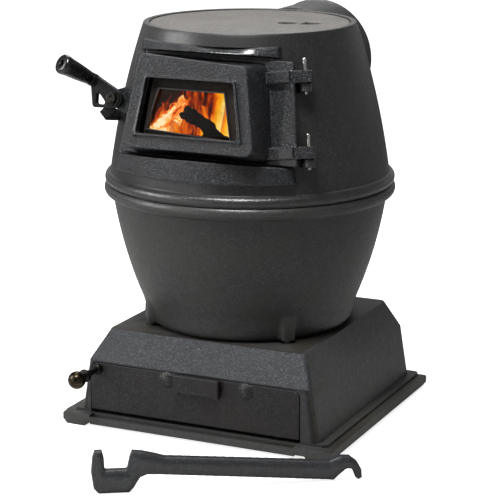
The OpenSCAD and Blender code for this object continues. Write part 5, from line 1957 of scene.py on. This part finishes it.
@dataclass
class Studio:
    """Pale floor, soft lamps and the camera."""

    aim: Vector = field(default_factory=lambda: Vector((0, 0, 0.2378)))
    azimuth: float = 24.86
    pitch: float = 13.92
    distance: float = 2.7459
    lens: float = 135.27
    sensor: float = 36
    floor_half: float = 30

    def floor(self) -> None:
        """Lay the pale floor, which the camera sees fade to the white of the room."""
        material, tree = fresh_material("Pale_studio_floor")
        path = add_node(tree, "LightPath")
        grain = add_node(tree, "TexNoise", {}, {"Scale": 3.0, "Detail": 2.0})
        colour = add_node(tree, "ValToRGB", {"stops": [(0.3, "c6c6c5"), (0.7, "cdcdcc")]},
                          {"Fac": grain.outputs["Fac"]})
        lay = add_node(tree, "BsdfDiffuse", {}, {"Color": colour.outputs["Color"]})
        away = add_node(tree, "VectorMath", {"operation": "LENGTH"}, {
            0: add_node(tree, "TexCoord").outputs["Object"]})
        share = add_node(tree, "MapRange", {"interpolation_type": "SMOOTHSTEP"}, {
            "Value": away.outputs["Value"], "From Min": 0.35, "From Max": 1.2,
            "To Min": 0.86, "To Max": 1.2})
        lift = add_node(tree, "Math", {"operation": "MULTIPLY"},
                        {0: path.outputs["Is Camera Ray"], 1: share.outputs[0]})
        glow = add_node(tree, "Emission", {}, {"Strength": lift.outputs[0]})
        both = add_node(tree, "AddShader", {}, {0: lay.outputs[0], 1: glow.outputs[0]})
        add_node(tree, "OutputMaterial", links={"Surface": both.outputs[0]})
        bm = bmesh.new()
        bmesh.ops.create_grid(bm, x_segments=1, y_segments=1, size=self.floor_half)
        mesh = bpy.data.meshes.new("studio_floor")
        bm.to_mesh(mesh)
        bm.free()
        floor = new_object("studio_floor", mesh)
        mesh.materials.append(material)

    def world(self) -> None:
        """Light the room evenly, show it white to the camera and dimmer to metal and glass."""
        world = bpy.data.worlds.new("studio")
        world.use_nodes = True
        tree = world.node_tree
        tree.nodes.clear()
        path = add_node(tree, "LightPath")
        mirrored = add_node(tree, "Math", {"operation": "MAXIMUM"},
                            {0: path.outputs["Is Camera Ray"], 1: path.outputs["Is Glossy Ray"]})
        seen = add_node(tree, "Math", {"operation": "MAXIMUM"},
                        {0: mirrored.outputs[0], 1: path.outputs["Is Transmission Ray"]})
        sky = add_node(tree, "SeparateXYZ", {}, {
            0: add_node(tree, "TexCoord").outputs["Generated"]})
        height = add_node(tree, "MapRange", {"interpolation_type": "SMOOTHSTEP"}, {
            "Value": sky.outputs["Z"], "From Min": 0.0, "From Max": 0.4,
            "To Min": 0.5, "To Max": 0.12})
        shown = add_node(tree, "Math", {"operation": "MAXIMUM"},
                         {0: path.outputs["Is Camera Ray"], 1: height.outputs[0]})
        # Matt faces are lit by 0.13, metal sees 0.5 at the horizon and 0.12 above, the camera 1.
        level = add_node(tree, "MapRange", {}, {"Value": seen.outputs[0], "To Min": 0.13,
                                               "To Max": shown.outputs[0]})
        back = add_node(tree, "Background", {}, {"Color": (1, 1, 1, 1),
                                                "Strength": level.outputs[0]})
        add_node(tree, "OutputWorld", links={"Surface": back.outputs[0]})
        bpy.context.scene.world = world

    def lamp(self, name: str, place: tuple[float, float, float], aim: tuple[float, float, float],
             size: tuple[float, float], watts: float) -> None:
        """Hang one soft box of white light.

        Args:
            name: Its name.
            place: Where it hangs, in metres.
            aim: The point that it lights.
            size: Its width and height in metres.
            watts: Its power.
        """
        data = bpy.data.lights.new(name, "AREA")
        data.shape = "RECTANGLE"
        data.size, data.size_y = size
        data.energy = watts
        lamp = new_object(name, data)
        lamp.location = place
        lamp.rotation_euler = (Vector(aim) - Vector(place)).to_track_quat("-Z", "Y").to_euler()

    def lamps(self) -> None:
        """Hang the overhead box, the key on the left, the fill and the fire's own light."""
        self.lamp("top_front_box", (0.1, -0.9, 2.1), (0, 0, 0.4), (0.7, 0.5), 52)
        self.lamp("back_box", (-0.5, 0.9, 1.7), (0, 0, 0.5), (1.2, 0.8), 18)
        self.lamp("key_box", (-1.35, -0.95, 1.0), (0, 0, 0.35), (0.7, 0.8), 20)
        self.lamp("front_low_box", (-0.9, -2.2, 0.5), (0, 0, 0.2), (1.2, 0.5), 5)
        glow = bpy.data.lights.new("fire_light", "POINT")
        glow.energy = 0.7
        glow.color = linear("ff9a50")[:3]
        glow.shadow_soft_size = 0.03
        new_object("fire_light", glow).location = (0.02, 0.0, 0.46)

    def camera(self) -> None:
        """Stand the camera where the photograph was taken."""
        data = bpy.data.cameras.new("camera")
        data.lens = self.lens
        data.sensor_width = self.sensor
        data.clip_end = 100
        camera = new_object("camera", data)
        a, p = math.radians(self.azimuth), math.radians(self.pitch)
        away = Vector((math.sin(a) * math.cos(p), -math.cos(a) * math.cos(p), math.sin(p)))
        camera.location = self.aim + away * self.distance
        camera.rotation_euler = (-away).to_track_quat("-Z", "Y").to_euler()
        bpy.context.scene.camera = camera

    def build(self) -> None:
        """Set up the whole studio."""
        self.camera()
        self.floor()
        self.world()
        self.lamps()
        bpy.context.scene.view_settings.view_transform = "Standard"


def main() -> None:
    """Build the studio and the stove, sub-assembly by sub-assembly."""
    logging.basicConfig(level=logging.INFO, format="%(message)s")
    Studio().build()
    for assembly in (Base(), AshDrawer(), Pot(), UpperBarrel(), FeedDoor(), FeedLatch(),
                     Lifter(), Fire()):
        assembly.build()


if __name__ == "__main__":
    main()
